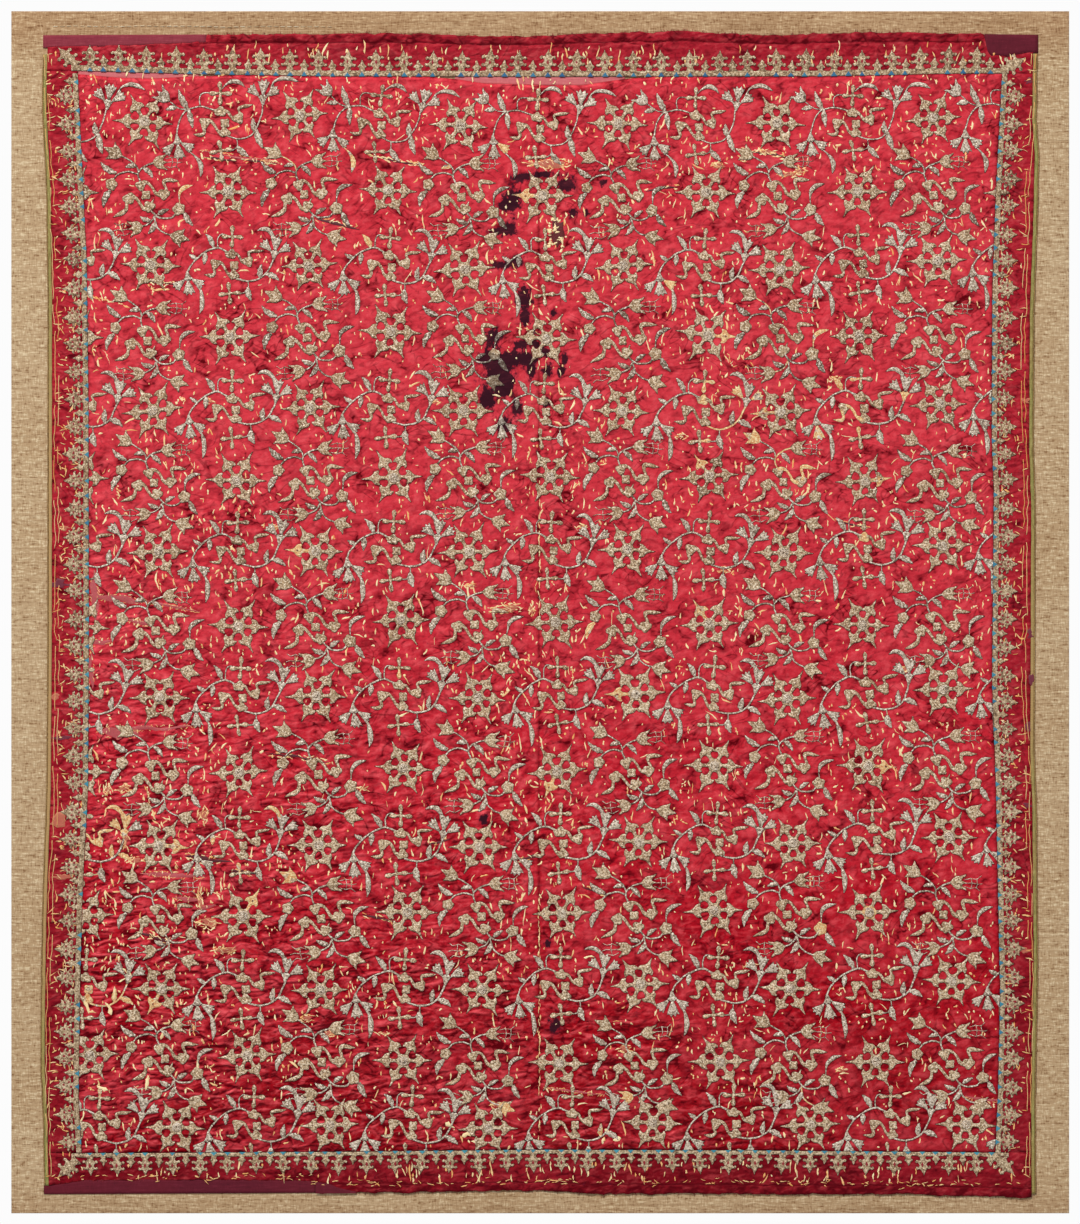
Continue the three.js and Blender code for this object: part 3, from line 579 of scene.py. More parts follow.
stars, goldWork, silverWork = Pile(), Pile(), Pile()
coilPlaces, stamens = [], []
for row in starRows:
    long = len(row) == 6
    wider = [(row[0][0] - starPitch, row[0][1]), *row, (row[-1][0] + starPitch, row[-1][1])]
    for x, y in row if long else wider:
        turn = random.uniform(-4, 4)
        stars.add(starCuts[random.integers(5)], x, y, turn, random.uniform(0.97, 1.04))
        coilPlaces.append((x, y, turn))
    for (ax, ay), (bx, by) in zip(wider, wider[1:]):
        x, y, turn = (ax + bx) / 2, (ay + by) / 2, np.degrees(np.arctan2(by - ay, bx - ax))
        cuts = unitCuts["long" if long else "short"]
        turn, size = turn + random.uniform(-2, 2), random.uniform(0.97, 1.03)
        if row is starRows[0]:  # the outer two have no gold, and the first lacks a sprig
            if abs(x) < 600:
                goldWork.add(cuts["gold"], x - 3.5, y - 4.5, turn, size)
            silverWork.add(topCut, x, y, turn, size, 0.75, leave=[21] if x < -600 else [])
            continue
        holed = abs(x - 5) < 20 and abs(y - 489) < 20  # beside the hole, where a flower has lost a lobe
        goldWork.add(cuts["gold"], x, y, turn, size, leave=[10] if holed else [])
        silverWork.add(cuts["silver"], x, y, turn, size, 0.75 if long else 0.2)
        stamens += [moved(line, x, y, turn) for line in ([] if long else shortUnit["threads"])]


def fieldLow(x, y):
    return edge("guardLeft", y) + 0.6, edge("guardBottom", x) + 0.6


def fieldTop(x):
    return edge("guardTop", x) - edge("tornTop", x)


def fieldHigh(x, y):
    return edge("guardRight", y) - 0.6, fieldTop(x) - 0.4


for pile in (stars, goldWork, silverWork):
    pile.gathered().keptIn(fieldLow, fieldHigh)
print("embroidery laid out")


folds = [  # x, y, turn, half length, half width, height
    (-480, -262, 4, 150, 34, 1.1), (-330, -380, -6, 170, 32, 1.2), (-540, -480, 8, 120, 30, 1.4),
    (-300, -500, -4, 180, 34, 1.3), (-500, -590, 3, 150, 30, 1.5), (-260, -690, -3, 190, 32, 1.2),
    (-540, -690, -5, 110, 30, 1.4), (60, -560, 2, 150, 32, 1.0), (130, -170, 52, 150, 36, 1.1),
    (260, -230, 48, 130, 34, 1.0), (330, -600, -2, 200, 34, 1.1), (420, -420, 5, 160, 34, 0.9),
    (300, 640, -4, 150, 34, 0.9), (520, 610, 2, 100, 32, 1.0), (-300, 640, 5, 130, 34, 0.8),
]
creaseTable = [  # size, squeeze, turn, height, seed
    (44, 2.4, 6, 0.8, 31), (30, 1.7, -24, 0.8, 32), (23, 1.5, 48, 0.7, 33), (17, 1.5, 8, 0.7, 34),
    (13, 1.3, -50, 0.5, 35),
]
gridStep = 2.0
gridX = np.arange(-664, 664, gridStep)
gridY = np.arange(-776, 776, gridStep)
meshX, meshY = np.meshgrid(gridX, gridY)


def blurred(values, size):
    fy = np.fft.fftfreq(values.shape[0], gridStep)[:, None]
    fx = np.fft.fftfreq(values.shape[1], gridStep)[None, :]
    return np.real(np.fft.ifft2(np.fft.fft2(values) * np.exp(-2 * (np.pi * size) ** 2 * (fx**2 + fy**2))))


def onGrid(values, x, y):  # the grid's value at any places
    u = np.clip((np.asarray(x) - gridX[0]) / gridStep, 0, len(gridX) - 1.001)
    v = np.clip((np.asarray(y) - gridY[0]) / gridStep, 0, len(gridY) - 1.001)
    i, j = u.astype(int), v.astype(int)
    s, t = u - i, v - j
    return mix(mix(values[j, i], values[j, i + 1], s), mix(values[j + 1, i], values[j + 1, i + 1], s), t)


cover = np.zeros(meshX.shape)
for pile in (stars, goldWork, silverWork):
    x, y = pile.points.T
    i = np.clip(((x - gridX[0]) / gridStep).round().astype(int), 0, len(gridX) - 1)
    j = np.clip(((y - gridY[0]) / gridStep).round().astype(int), 0, len(gridY) - 1)
    np.maximum.at(cover, (j, i), 1.0)

def turnedAxes(x, y, turn):  # places along and across axes that are turned by some degrees
    c, s = np.cos(np.radians(turn)), np.sin(np.radians(turn))
    return x * c + y * s, y * c - x * s


# The work holds the satin down, and the satin stands up between it. Heights and lengths are in mm.
liftLook = {"creaseBlur": 1.7, "workBlur": 5, "stand": 1.2, "flatRim": 12, "lowest": -0.8,
            "seamDeep": 0.7, "seamWide": 3.5}
lift = np.zeros(meshX.shape)
for fx, fy, turn, length, width, height in folds:
    along, across = turnedAxes(meshX - fx, meshY - fy, turn)
    lift += height * np.clip(1 - (along / length) ** 2, 0, 1) * np.clip(1 - (across / width) ** 2, 0, 1)
slack = np.clip(0.62 - meshY / 1500 - meshX / 3200, 0.5, 1.25)  # looser towards the lower left
creases = np.zeros(meshX.shape)
for size, squeeze, turn, height, seed in creaseTable:
    along, across = turnedAxes(meshX, meshY, turn)
    creases += height * (1 - 2 * np.abs(ripple(along, squeeze * across, size, seed)))
closeness = blurred(cover, liftLook["workBlur"])
held = np.clip(1.2 - closeness, 0.35, 1)
lift += slack * blurred(creases, liftLook["creaseBlur"]) * held + liftLook["stand"] * (0.5 - closeness)
fromRim = np.minimum(np.minimum(meshX - edge("guardLeft", meshY), edge("guardRight", meshY) - meshX),
                     np.minimum(meshY - edge("guardBottom", meshX), edge("guardTop", meshX) - meshY))
lift *= np.clip(fromRim / liftLook["flatRim"], 0, 1)
seamDip = liftLook["seamDeep"] * np.exp(-((meshX - seamX) / liftLook["seamWide"]) ** 2)
clothLift = np.maximum(lift, liftLook["lowest"]) - seamDip
# Painted shade and highlight: the cloth's height less its blur, laid into the satin's colour to darken the
# hollows and lighten the ridges.
creaseShade = clothLift - blurred(clothLift, 7)
creaseShade = np.clip(creaseShade / (2 * creaseShade.std()), -1, 1)


def clothHeight(x, y):
    return satinTop + onGrid(clothLift, x, y)


# Stains: x, y, reach across, reach up.
stains = [
    (-27, 617, 14, 6), (4, 622, 16, 5), (38, 608, 13, 13), (89, 611, 8, 5), (-39, 585, 12, 20),
    (-54, 578, 10, 6), (-44, 544, 12, 10), (-64, 541, 12, 4), (-53, 493, 18, 6), (-32, 500, 8, 9),
    (-23, 446, 12, 18), (-22, 415, 8, 10), (18, 425, 6, 6), (-67, 392, 11, 13), (-76, 361, 13, 8),
    (-60, 341, 21, 27), (-30, 361, 18, 8), (-13, 347, 9, 15), (-76, 301, 11, 15), (-50, 321, 12, 15),
    (-33, 290, 8, 14), (-53, 267, 12, 12), (-7, 381, 6, 6), (7, 370, 7, 7), (34, 358, 5, 12),
    (11, 344, 6, 12), (29, 341, 5, 6), (-27, 381, 10, 6), (46, 566, 6, 8), (66, 566, 5, 6), (7, 299, 6, 9),
    (-81, -295, 7, 9), (20, -586, 9, 12), (10, -470, 5, 6),
]


def stainAt(x, y):
    reach = [np.exp(-0.9 * (((x - sx) / rx) ** 2 + ((y - sy) / ry) ** 2)) for sx, sy, rx, ry in stains]
    return np.clip(sum(reach), 0, 1.2)


print("cloth's height ready")


def satinFinish(name, look):  # the light and dark masks, mostly painted highlight and painted shade, are added up first, then laid over the red
    paint = Paint(name)
    low, high = look["span"]
    stops = [((y - low) / (high - low), rgb(*color)) for y, color in look["colors"]]
    across, up = paint.axis("X"), paint.axis("Y")
    # The red runs from dark at the bottom to bright at the top: partly fading, partly painted light falling
    # from above.
    ramp = paint.node("ShaderNodeValToRGB", {"stops": stops}, {"Fac": (up * 1000 - low) / (high - low)})
    cloudy = paint.noise((190, 120, 190), 2)
    slack = paint.smooth(up + across * 0.8 + (cloudy - 0.5) * 0.8, -0.05, -1.05, look["slack"])
    # Painted light and shade: facing is the ripples' slope, lighter in the colour where they face the lamp
    # above and darker where they face away.
    ripples = paint.noise((33, 12, 33), 2, 0.5, 6, 1.1)
    facing = ripples - paint.noise((33, 12, 33), 2, 0.5, 6, 1.1, 2.6)  # towards the light above, or away
    crumple = paint.noise((26, 15, 26), 2, 0.5, -32, 0.4)
    # Thin dark lines of painted shade along the creases.
    lines = []
    for size, turn, width in ((50, 19), 8, 0.055), ((38, 17), -34, 0.06), ((34, 16), 40, 0.06):
        line = (paint.noise((*size, size[0]), 1, 0.5, turn, 0.6) - 0.5).work("ABSOLUTE")
        shown = paint.smooth(paint.noise((61, 43, 61), 1, 0.5, turn * 3), 0.48, 0.62)
        lines.append(paint.smooth(line, width, 0.0) * shown)
    folded = lines[0] + lines[1] + lines[2]
    fine = paint.noise((5, 6, 5), 3, 0.6)
    crease = paint.field("crease")
    mottle = paint.noise((13, 9, 13), 3, 0.6, 24, 0.4)
    # light: painted highlight on ridges and ripples, plus paler mottling and spots.
    light = paint.smooth(crease, 0.1, 1.0) * look["light"]
    light += paint.smooth(facing, 0.03, 0.13) * slack * look["paintedRippleLight"]
    light = light + paint.smooth(fine, 0.55, 0.75) * 0.2 + paint.smooth(mottle, 0.52, 0.64) * 0.34
    # dark: painted shade in hollows, crease lines and ripples, plus darker mottling and spots.
    dark = paint.smooth(crease, 0.0, -1.0) * look["dark"] + folded * 0.5
    dark += paint.smooth(mottle, 0.47, 0.36) * 0.36
    dark += paint.smooth(facing, -0.02, -0.12) * slack * look["paintedRippleLight"]
    dark += paint.smooth(fine, 0.45, 0.25) * 0.25
    # below: darker towards the bottom, with less painted highlight there.
    below = paint.smooth(up, -0.2, -0.75)
    dirt = paint.noise((80, 60, 80), 5, 0.68)
    stain = paint.field("stain") + (paint.noise((8, 12, 8), 4, 0.72) - 0.5) * 2.0
    color = paint.layers(
        ramp,
        (paint.smooth(cloudy, 0.35, 0.7) * 0.45, look["pale"]),
        (light * (1 - below * 0.3), look["sheen"]),
        (dark + below * 0.08, look["deep"]),
        (paint.smooth(dirt, 0.56, 0.72) * 0.4, look["dirt"]),
        (paint.smooth(stain, 0.2, 0.5) * 0.5, (120, 26, 48)),
        (paint.smooth(stain, 0.4, 0.62), (46, 20, 32)))
    weave = (across * 5200).work("SINE") * 0.5 + (up * 5200).work("SINE") * 0.25
    wrinkles = ripples * slack * 1.3 + crumple * 0.45 + fine * 0.08
    rough = paint.smooth(paint.noise((70, 40, 70), 3), 0.3, 0.7, (look["rough"] - 0.06, look["rough"] + 0.1))
    return paint.finish({"Base Color": color, "Roughness": rough, "Specular IOR Level": 0.42,
                         "Normal": paint.bump(wrinkles + weave * 0.01, look["relief"]),
                         "Specular Tint": rgb(255, 96, 100)})


def threadFinish(name, look):  # rows of couched thread follow the depth inside each form's outline
    paint = Paint(name)
    depth, tone, lost, stained = (paint.field(key) for key in ("depth", "tone", "lost", "stain"))
    rows = (depth * look["rows"]).work("SINE")
    grain = paint.noise((2.6, 2.6, 2.6), 2, 0.75)
    patchy = paint.noise((16, 16, 16), 3, 0.6)
    # Painted light: the tone is pushed lighter towards the bottom, making up for the lamp above falling off
    # there.
    tone = tone + paint.smooth(paint.axis("Y"), 0.2, -0.5) * 0.6
    # glint lays painted highlights on the metal grain; the shade colour is painted shade between the rows and
    # in the grain, and also the real dulling of low tones.
    color = paint.layers(
        paint.blend(tone, rgb(*look["base"]), rgb(*look["other"])),
        (paint.smooth(patchy, 0.5, 0.75) * 0.55, look["tarnish"]),
        (paint.smooth(tone, 0.22, 0.0) * 0.5, look["shade"]),
        (paint.smooth(rows, -0.2, -0.9) * 0.3, look["shade"]),
        (paint.smooth(grain, 0.51, 0.61) * 0.9, look["glint"]),
        (paint.smooth(grain, 0.47, 0.37) * 0.9, look["shade"]))
    bare = paint.blend(paint.smooth(grain, 0.35, 0.65), rgb(222, 148, 88), rgb(255, 228, 168))
    color = paint.blend(lost * paint.smooth(patchy, 0.36, 0.44), color, bare)
    # The dark line round each form: partly a dark couching cord, partly painted shadow of the raised work.
    outline = paint.smooth(depth + (grain - 0.5) * 0.4, look["line"], 0.35)
    mark = paint.smooth(stained + (patchy - 0.5) * 1.2, 0.5, 0.8)
    color = paint.layers(color, (outline, look["edge"]), (mark * 0.55, (52, 34, 36)))
    return paint.finish({"Base Color": color, "Metallic": (1 - lost) * look["metal"],
                         "Normal": paint.bump(rows * 0.2 + grain, look["relief"]),
                         "Roughness": paint.smooth(grain, 0.3, 0.7, (0.6, 0.42))})


def clothFinish(name, look):
    paint = Paint(name)
    across, up = paint.axis("X"), paint.axis("Y")
    thread = paint.noise(look["weft"], 2, 0.55) * 0.6 + paint.noise(look["warp"], 2, 0.55) * 0.4
    cloudy, slub = paint.noise((140, 140, 140), 3), paint.noise((180, 4, 180), 3, 0.6)
    color = paint.layers(
        paint.blend(paint.smooth(cloudy, 0.3, 0.7), rgb(*look["base"]), rgb(*look["other"])),
        (paint.smooth(thread, 0.5, 0.68) * look["contrast"], look["light"]),
        (paint.smooth(thread, 0.48, 0.32) * look["contrast"], look["dark"]),
        (paint.smooth(slub, 0.52, 0.72) * look["slub"], look["dark"]),
        (paint.smooth(slub, 0.44, 0.28) * look["slub"], look["light"]))
    if "faded" in look:  # browner about the middle of each side
        place = (up + 0.1).work("ABSOLUTE") + across * 0.25
        color = paint.layers(color, (paint.smooth(place, 0.45, 0.1) * 0.8, look["faded"]))
    if "ends" in look:  # browner where the cloth turns over the top and the bottom
        turned = paint.smooth(up * 1000, 770, 830) + paint.smooth(up * 1000, -800, -860) * 0.5
        color = paint.blend(turned * 0.9, color, rgb(*look["ends"]), "MULTIPLY")
    weave = (across * look["weave"]).work("SINE") + (up * look["weave"]).work("SINE")
    return paint.finish({"Base Color": color, "Roughness": 0.85, "Specular IOR Level": 0.25,
                         "Normal": paint.bump(weave * 0.15 + thread, look["relief"])})


fieldSatin = satinFinish("fieldSatin", {
    "span": (-770, 770),
    "colors": [(-770, (156, 2, 18)), (-690, (160, 4, 20)), (-580, (172, 8, 26)), (-410, (186, 18, 36)),
               (-240, (196, 30, 46)), (0, (204, 46, 60)), (300, (212, 56, 68)), (770, (206, 46, 60))],
    "pale": (214, 60, 72), "sheen": (238, 92, 100), "deep": (88, 0, 10), "dirt": (140, 30, 46), "paintedRippleLight": 0.65,
    "light": 0.35, "dark": 0.45, "slack": (0.15, 1.0), "relief": 0.0036, "rough": 0.36,
})
borderSatin = satinFinish("borderSatin", {
    "span": (-830, 830),
    "colors": [(-830, (120, 10, 24)), (-300, (156, 22, 38)), (300, (174, 34, 48)), (830, (160, 26, 42))],
    "pale": (176, 34, 48), "sheen": (202, 80, 84), "deep": (84, 2, 14), "dirt": (112, 22, 36), "paintedRippleLight": 0.4,
    "light": 0.5, "dark": 0.7, "slack": (0.5, 0.7), "relief": 0.0026, "rough": 0.46,
})
threadLook = {"rows": 4.2, "line": 0.7, "relief": 0.0012, "metal": 0.15}
goldThread = threadFinish("goldThread", {
    **threadLook, "base": (188, 150, 108), "other": (214, 182, 142), "tarnish": (150, 110, 74),
    "glint": (255, 236, 208), "shade": (98, 74, 50), "edge": (34, 8, 10), "line": 0.75})
silverThread = threadFinish("silverThread", {
    **threadLook, "base": (172, 142, 114), "other": (218, 196, 172), "tarnish": (140, 114, 92),
    "glint": (255, 244, 226), "shade": (92, 72, 56), "edge": (34, 8, 12)})
brownThread = threadFinish("brownThread", {
    **threadLook, "base": (180, 144, 102), "other": (200, 170, 132), "tarnish": (144, 106, 72),
    "glint": (240, 218, 184), "shade": (92, 66, 46), "edge": (40, 8, 10)})
mountFinish = clothFinish("mountFinish", {
    "base": (193, 163, 126), "other": (186, 154, 116), "light": (226, 204, 166), "dark": (140, 104, 68),
    "weft": (10, 2, 10), "warp": (2, 10, 2), "contrast": 1.15, "slub": 0.45, "weave": 3600, "relief": 0.0005,
    "ends": (235, 222, 213),
})
plainSilk = {"weft": (16, 2, 16), "warp": (2, 9, 2), "contrast": 0.45, "slub": 0.1, "weave": 4200,
             "relief": 0.0003}
plumFinish = clothFinish("plumFinish", {
    **plainSilk, "base": (104, 22, 38), "other": (94, 18, 36), "light": (120, 36, 54), "dark": (70, 10, 26)})
palePlumFinish = clothFinish("palePlumFinish", {
    **plainSilk, "base": (142, 52, 64), "other": (132, 42, 58), "light": (166, 76, 86),
    "dark": (104, 28, 44)})
pinkFinish = clothFinish("pinkFinish", {
    **plainSilk, "base": (204, 108, 111), "other": (198, 100, 104), "light": (222, 136, 134),
    "dark": (176, 78, 84)})
greenFinish = clothFinish("greenFinish", {
    "base": (142, 140, 76), "other": (160, 136, 80), "light": (184, 172, 110), "dark": (106, 94, 50),
    "faded": (186, 146, 98),
    "weft": (3, 8, 3), "warp": (2, 14, 2), "contrast": 0.7, "slub": 0.1, "weave": 2600, "relief": 0.0006,
})
cordFinish = clothFinish("cordFinish", {
    "base": (156, 122, 76), "other": (136, 104, 64), "light": (188, 158, 108), "dark": (96, 70, 42),
    "weft": (2, 4, 2), "warp": (2, 3, 2), "contrast": 0.8, "slub": 0.1, "weave": 2200, "relief": 0.0008,
})


def flossFinish(name, first, second):  # small things that take their colour from a tone along the mesh
    paint = Paint(name)
    tone = paint.field("tone")
    grain = paint.noise((1.6, 2.6, 1.6), 2, 0.6)
    color = paint.blend(tone, rgb(*first), rgb(*second))
    color = paint.blend(paint.smooth(grain, 0.45, 0.25) * 0.4, color, rgb(*[c * 0.6 for c in first]))
    return paint.finish({"Base Color": color, "Roughness": 0.6, "Normal": paint.bump(grain, 0.0005)})


floss = {name: flossFinish(name + "Floss", *colors) for name, colors in {
    "dark": ((62, 28, 28), (150, 24, 36)), "yellow": ((240, 168, 92), (255, 238, 184)),
    "worn": ((176, 66, 64), (246, 198, 124)), "plum": ((104, 22, 42), (150, 56, 80)),
    "blue": ((24, 88, 132), (74, 160, 174)), "pale": ((206, 180, 140), (240, 226, 196)),
    "pink": ((176, 66, 72), (198, 96, 98)), "red": ((84, 6, 20), (170, 34, 44)),
    "hole": ((84, 0, 4), (128, 4, 10)),
}.items()}
print("finishes ready")


def standFor(piece, node):
    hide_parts(node)
    return piece


def layCloth(name, x, y, z, hem, material, stained=False, shade=None):
    # A closed cloth from a grid of places: its edge goes down by rows of (how far outwards, height).
    rows, cols = x.shape
    index = np.arange(rows * cols).reshape(rows, cols)
    quads = np.stack([index[:-1, :-1], index[:-1, 1:], index[1:, 1:], index[1:, :-1]], axis=-1).reshape(-1, 4)
    rim = np.concatenate([index[0, :-1], index[:-1, -1], index[-1, :0:-1], index[:0:-1, 0]])
    outX, outY = np.zeros((2, rows, cols))
    outX[:, 0], outX[:, -1], outY[0, :], outY[-1, :] = -1, 1, -1, 1
    top = np.column_stack([x.ravel(), y.ravel(), z.ravel()])
    aside = np.column_stack([outX.ravel(), outY.ravel()])[rim]
    points, faces = [top], [*quads]
    ring, count = rim, rows * cols
    for out, level in hem:
        points.append(np.column_stack([top[rim, :2] + out * aside, np.minimum(level, top[rim, 2])]))
        below = count + np.arange(len(rim))
        faces += [*np.column_stack([ring, below, np.roll(below, -1), np.roll(ring, -1)])]
        ring, count = below, count + len(rim)
    faces.append(ring[::-1])
    points = np.vstack(points)
    x, y = points[:, 0], points[:, 1]
    values = {"stain": stainAt(x, y), "crease": onGrid(creaseShade, x, y)} if stained else {}
    if shade is not None:
        # On the strips the painted shade comes from shade, and the points below the top get the darkest.
        values["crease"] = np.concatenate([shade.ravel(), np.full(len(points) - shade.size, -1.0)])
    return addMesh(name, points, faces, values, material)


mountLook = {"cell": 24, "rim": 2, "hang": 0.12}


def mountLine(low, high):  # places across the mount's flat face
    low, high = low + mountLook["rim"], high - mountLook["rim"]
    line = np.arange(low, high + 1, mountLook["cell"])
    line[-1] = high
    return line


gx, gy = np.meshgrid(mountLine(mountLow[0], mountHigh[0]), mountLine(mountLow[1], mountHigh[1]))
gz = mountHigh[2] + mountLook["hang"] * ripple(gx, gy, 90, 41) - mountLook["hang"]
rounding = [(mountLook["rim"] * np.sin(a), mountHigh[2] - mountLook["rim"] * (1 - np.cos(a)))
            for a in np.radians([30, 60, 90])]
turning = [(mountLook["rim"] * np.cos(a), mountLow[2] + mountLook["rim"] * (1 - np.sin(a)))
           for a in np.radians([0, 30, 60, 90])]
cloth = layCloth("mountCloth", gx, gy, gz, rounding + turning, mountFinish)
mountCloth = standFor(cloth, "mount")

satinLook = {"across": 136, "up": 330, "hem": [(0.15, satinTop - 1.3), (0.0, clothBase + 0.02)]}
for side, node in (("Left", "field_left"), ("Right", "field_right")):
    cols = np.linspace(0, 1, satinLook["across"])[None, :]
    rows = np.linspace(0, 1, satinLook["up"])[:, None]
    nominal = mix(-657, seamX, cols) if side == "Left" else mix(seamX, 656, cols)
    gy = mix(edge("guardBottom", nominal) + 0.1, fieldTop(nominal), rows)
    inner, outer = np.full(gy.shape, seamX), edge("guard" + side, gy)
    gx = mix(outer + 0.1, inner - 0.1, cols) if side == "Left" else mix(inner + 0.1, outer - 0.1, cols)
    cloth = layCloth("satin" + side, gx, gy, clothHeight(gx, gy), satinLook["hem"], fieldSatin, True)
    standFor(cloth, node)
print("field laid")


stripLook = {"trim": 6.8, "cell": 5.0, "hem": [(0.1, clothBase + 0.02)]}


def redEdge(side, at):  # the side strips' outer edge, where the edging starts
    return edge("outer" + side, at) + (stripLook["trim"] if side == "Left" else -stripLook["trim"])


mends = {
    "TopLeft": {"node": "plum_mend_top_left", "slot": "pale_plum_cloth", "finish": palePlumFinish,
                "torn": [(-706, 802.5), (-640, 804), (-590, 805), (-530, 808), (-474, 810.5)]},
    "TopRight": {"node": "plum_mend_top_right", "slot": "plum_cloth", "finish": plumFinish,
                 "torn": [(631, 802), (640, 790.5), (662, 789.5), (690, 795), (707, 795.5)]},
    "BottomLeft": {"node": "plum_mend_bottom_left", "slot": "plum_cloth", "finish": plumFinish,
                   "torn": [(-705, -815), (-680, -812.5), (-652, -807.5), (-480, -805.5), (-400, -806.5),
                            (-341, -807), (-334, -808.5), (-318, -809.5)]},
}


def wornEdge(side, x):  # the long strips' outer edge, with frayed teeth
    fray = 1.2 * ripple(x, x * 0, 9, 51) + 0.8 * ripple(x, x * 0, 3.5, 52)
    worn = edge("outerTop" if side == "Top" else "outerBottom", x) + fray
    for name, mend in mends.items():
        torn = np.array(mend["torn"])
        if name.startswith(side):
            inside = (x > torn[0, 0] - 0.4) & (x < torn[-1, 0] + 0.4)
            worn = np.where(inside, np.interp(x, torn[:, 0], torn[:, 1]) + 0.6 * fray, worn)
    return worn


def stripHeight(x, y):
    return satinTop + 0.6 * ripple(x, y, 17, 61) + 0.35 * ripple(x, y, 8, 62) - 0.3


for side in ("Top", "Bottom"):
    cols = np.linspace(0, 1, int(1420 / stripLook["cell"]))[None, :]
    rows = np.array([0, 0.1, 0.2, 0.3, 0.4, 0.5, 0.6, 0.69, 0.77, 0.79, 0.815, 0.84, 0.89, 0.95, 1])[:, None]
    level = 765 if side == "Top" else -767
    gx = mix(redEdge("Left", level), redEdge("Right", level), cols) + 0 * rows
    inner, outer = edge("guard" + side, gx), wornEdge(side, gx)
    if side == "Bottom":
        inner, outer, rows = outer, inner, 1 - rows[::-1]
    gy = mix(inner, outer, rows)
    along = rows if side == "Top" else 1 - rows  # the outer fifth is a hem, folded over and gathered
    whole = np.ones(gx.shape)  # there is no fold along a mend
    for name, mend in mends.items():
        if name.startswith(side):
            whole[(gx > mend["torn"][0][0] - 2) & (gx < mend["torn"][-1][0] + 2)] = 0
    gathers = 0.75 + 0.35 * ripple(gx, gy, 7, 63) + 0.25 * ripple(gx, gy, 3.5, 64)
    hem = whole * np.clip((along - 0.8) * 40, 0, 1) * gathers
    line = whole * np.exp(-((along - 0.79) / 0.014) ** 2)
    # shade is painted shade along the fold line and over the folded hem, with a ripple of lighter and darker
    # tone.
    folded = 0.5 * whole * (along > 0.8) * (1 + ripple(gx, gy * 2, 6, 66))
    shade = 0.5 * ripple(gx, gy, 9, 65) - 1.6 * line - folded
    gz = stripHeight(gx, gy) + hem - 0.6 * line
    gx[:, 0], gx[:, -1] = redEdge("Left", gy[:, 0]), redEdge("Right", gy[:, -1])
    cloth = layCloth("strip" + side, gx, gy, gz, stripLook["hem"], borderSatin, True, shade)
    standFor(cloth, "border_" + side.lower())
for side in ("Left", "Right"):
    cols = np.linspace(0, 1, 12)[None, :]
    rows = np.linspace(0, 1, 306)[:, None]
    out = -700 if side == "Left" else 700
    gy = mix(edge("guardBottom", out) + 0.1, edge("guardTop", out) - 0.1, rows) + 0 * cols
    inner, red = edge("guard" + side, gy), redEdge(side, gy)
    gx = mix(red, inner, cols) if side == "Left" else mix(inner, red, cols)
    cloth = layCloth("strip" + side, gx, gy, stripHeight(gx, gy), stripLook["hem"], borderSatin, True)
    standFor(cloth, "border_" + side.lower())

for name, mend in mends.items():
    torn = np.array(mend["torn"])
    count = int((torn[-1, 0] - torn[0, 0]) / stripLook["cell"])
    gx = np.linspace(torn[0, 0], torn[-1, 0], count)[None, :] + np.zeros((6, 1))
    lowSide = np.interp(gx, torn[:, 0], torn[:, 1]) - 1
    highSide = edge("outerTop", gx)
    if name.startswith("Bottom"):
        lowSide, highSide = edge("outerBottom", gx), np.interp(gx, torn[:, 0], torn[:, 1]) + 1
    gy = mix(lowSide, highSide, np.linspace(0, 1, 6)[:, None])
    gz = clothBase + 0.9 + 0.15 * ripple(gx, gy, 14, 71)
    cloth = layCloth("plumMend" + name, gx, gy, gz, stripLook["hem"], mend["finish"])
    standFor(cloth, mend["node"])
for name, start, end, node in (("pinkMendLeft", -656, -485, "pink_mend_left"),
                               ("pinkMendMiddle", -121, 120, "pink_mend_middle")):
    gx = np.linspace(start, end, int((end - start) / 4))[None, :] + np.zeros((5, 1))
    gy = mix(fieldTop(gx) - 0.6, edge("guardTop", gx), np.linspace(0, 1, 5)[:, None])
    gz = clothBase + 0.9 + 0.12 * ripple(gx, gy, 12, 72)
    standFor(layCloth(name, gx, gy, gz, stripLook["hem"], pinkFinish), node)

# Edging strips and cords along the sides: how far in from the outer line they start and end.
trimHigh = 1.9
trims = {
    "edging": {"from": 6.5, "to": 2.2, "round": False, "finish": greenFinish, "slot": "green_silk"},
    "edgeCord": {"from": 2.1, "to": 0.0, "round": True, "finish": cordFinish, "slot": "edge_cord"},
}
for side, low, high in (("Left", -814, 792), ("Right", -826, 793)):
    out = -1 if side == "Left" else 1
    rows = np.linspace(low, high, 400)
    outer = edge("outer" + side, rows) + 0.35 * ripple(rows, rows * 0, 15, 81)
    for name, trim in trims.items():
        share = np.linspace(0, 1, 6)
        reach = mix(trim["from"], trim["to"], share) if out > 0 else mix(trim["to"], trim["from"], share)
        gx = outer[:, None] - out * reach[None, :]
        gy = rows[:, None] + 0 * gx
        dome = np.sqrt(np.clip(1 - (2 * share - 1) ** 2, 0.05, 1))[None, :]
        ribs = 0.12 * np.sin(gy * 2.4 + gx * (2.2 if trim["round"] else 0.0))
        gz = clothBase + 0.3 + (trimHigh - 0.3) * (dome if trim["round"] else 0.75 + 0.2 * dome) + ribs
        cloth = layCloth(name + side, gx, gy, gz, [(0.0, clothBase + 0.02)], trim["finish"])
        standFor(cloth, ("edge_cord_" if trim["round"] else "edging_") + side.lower())
print("borders laid")


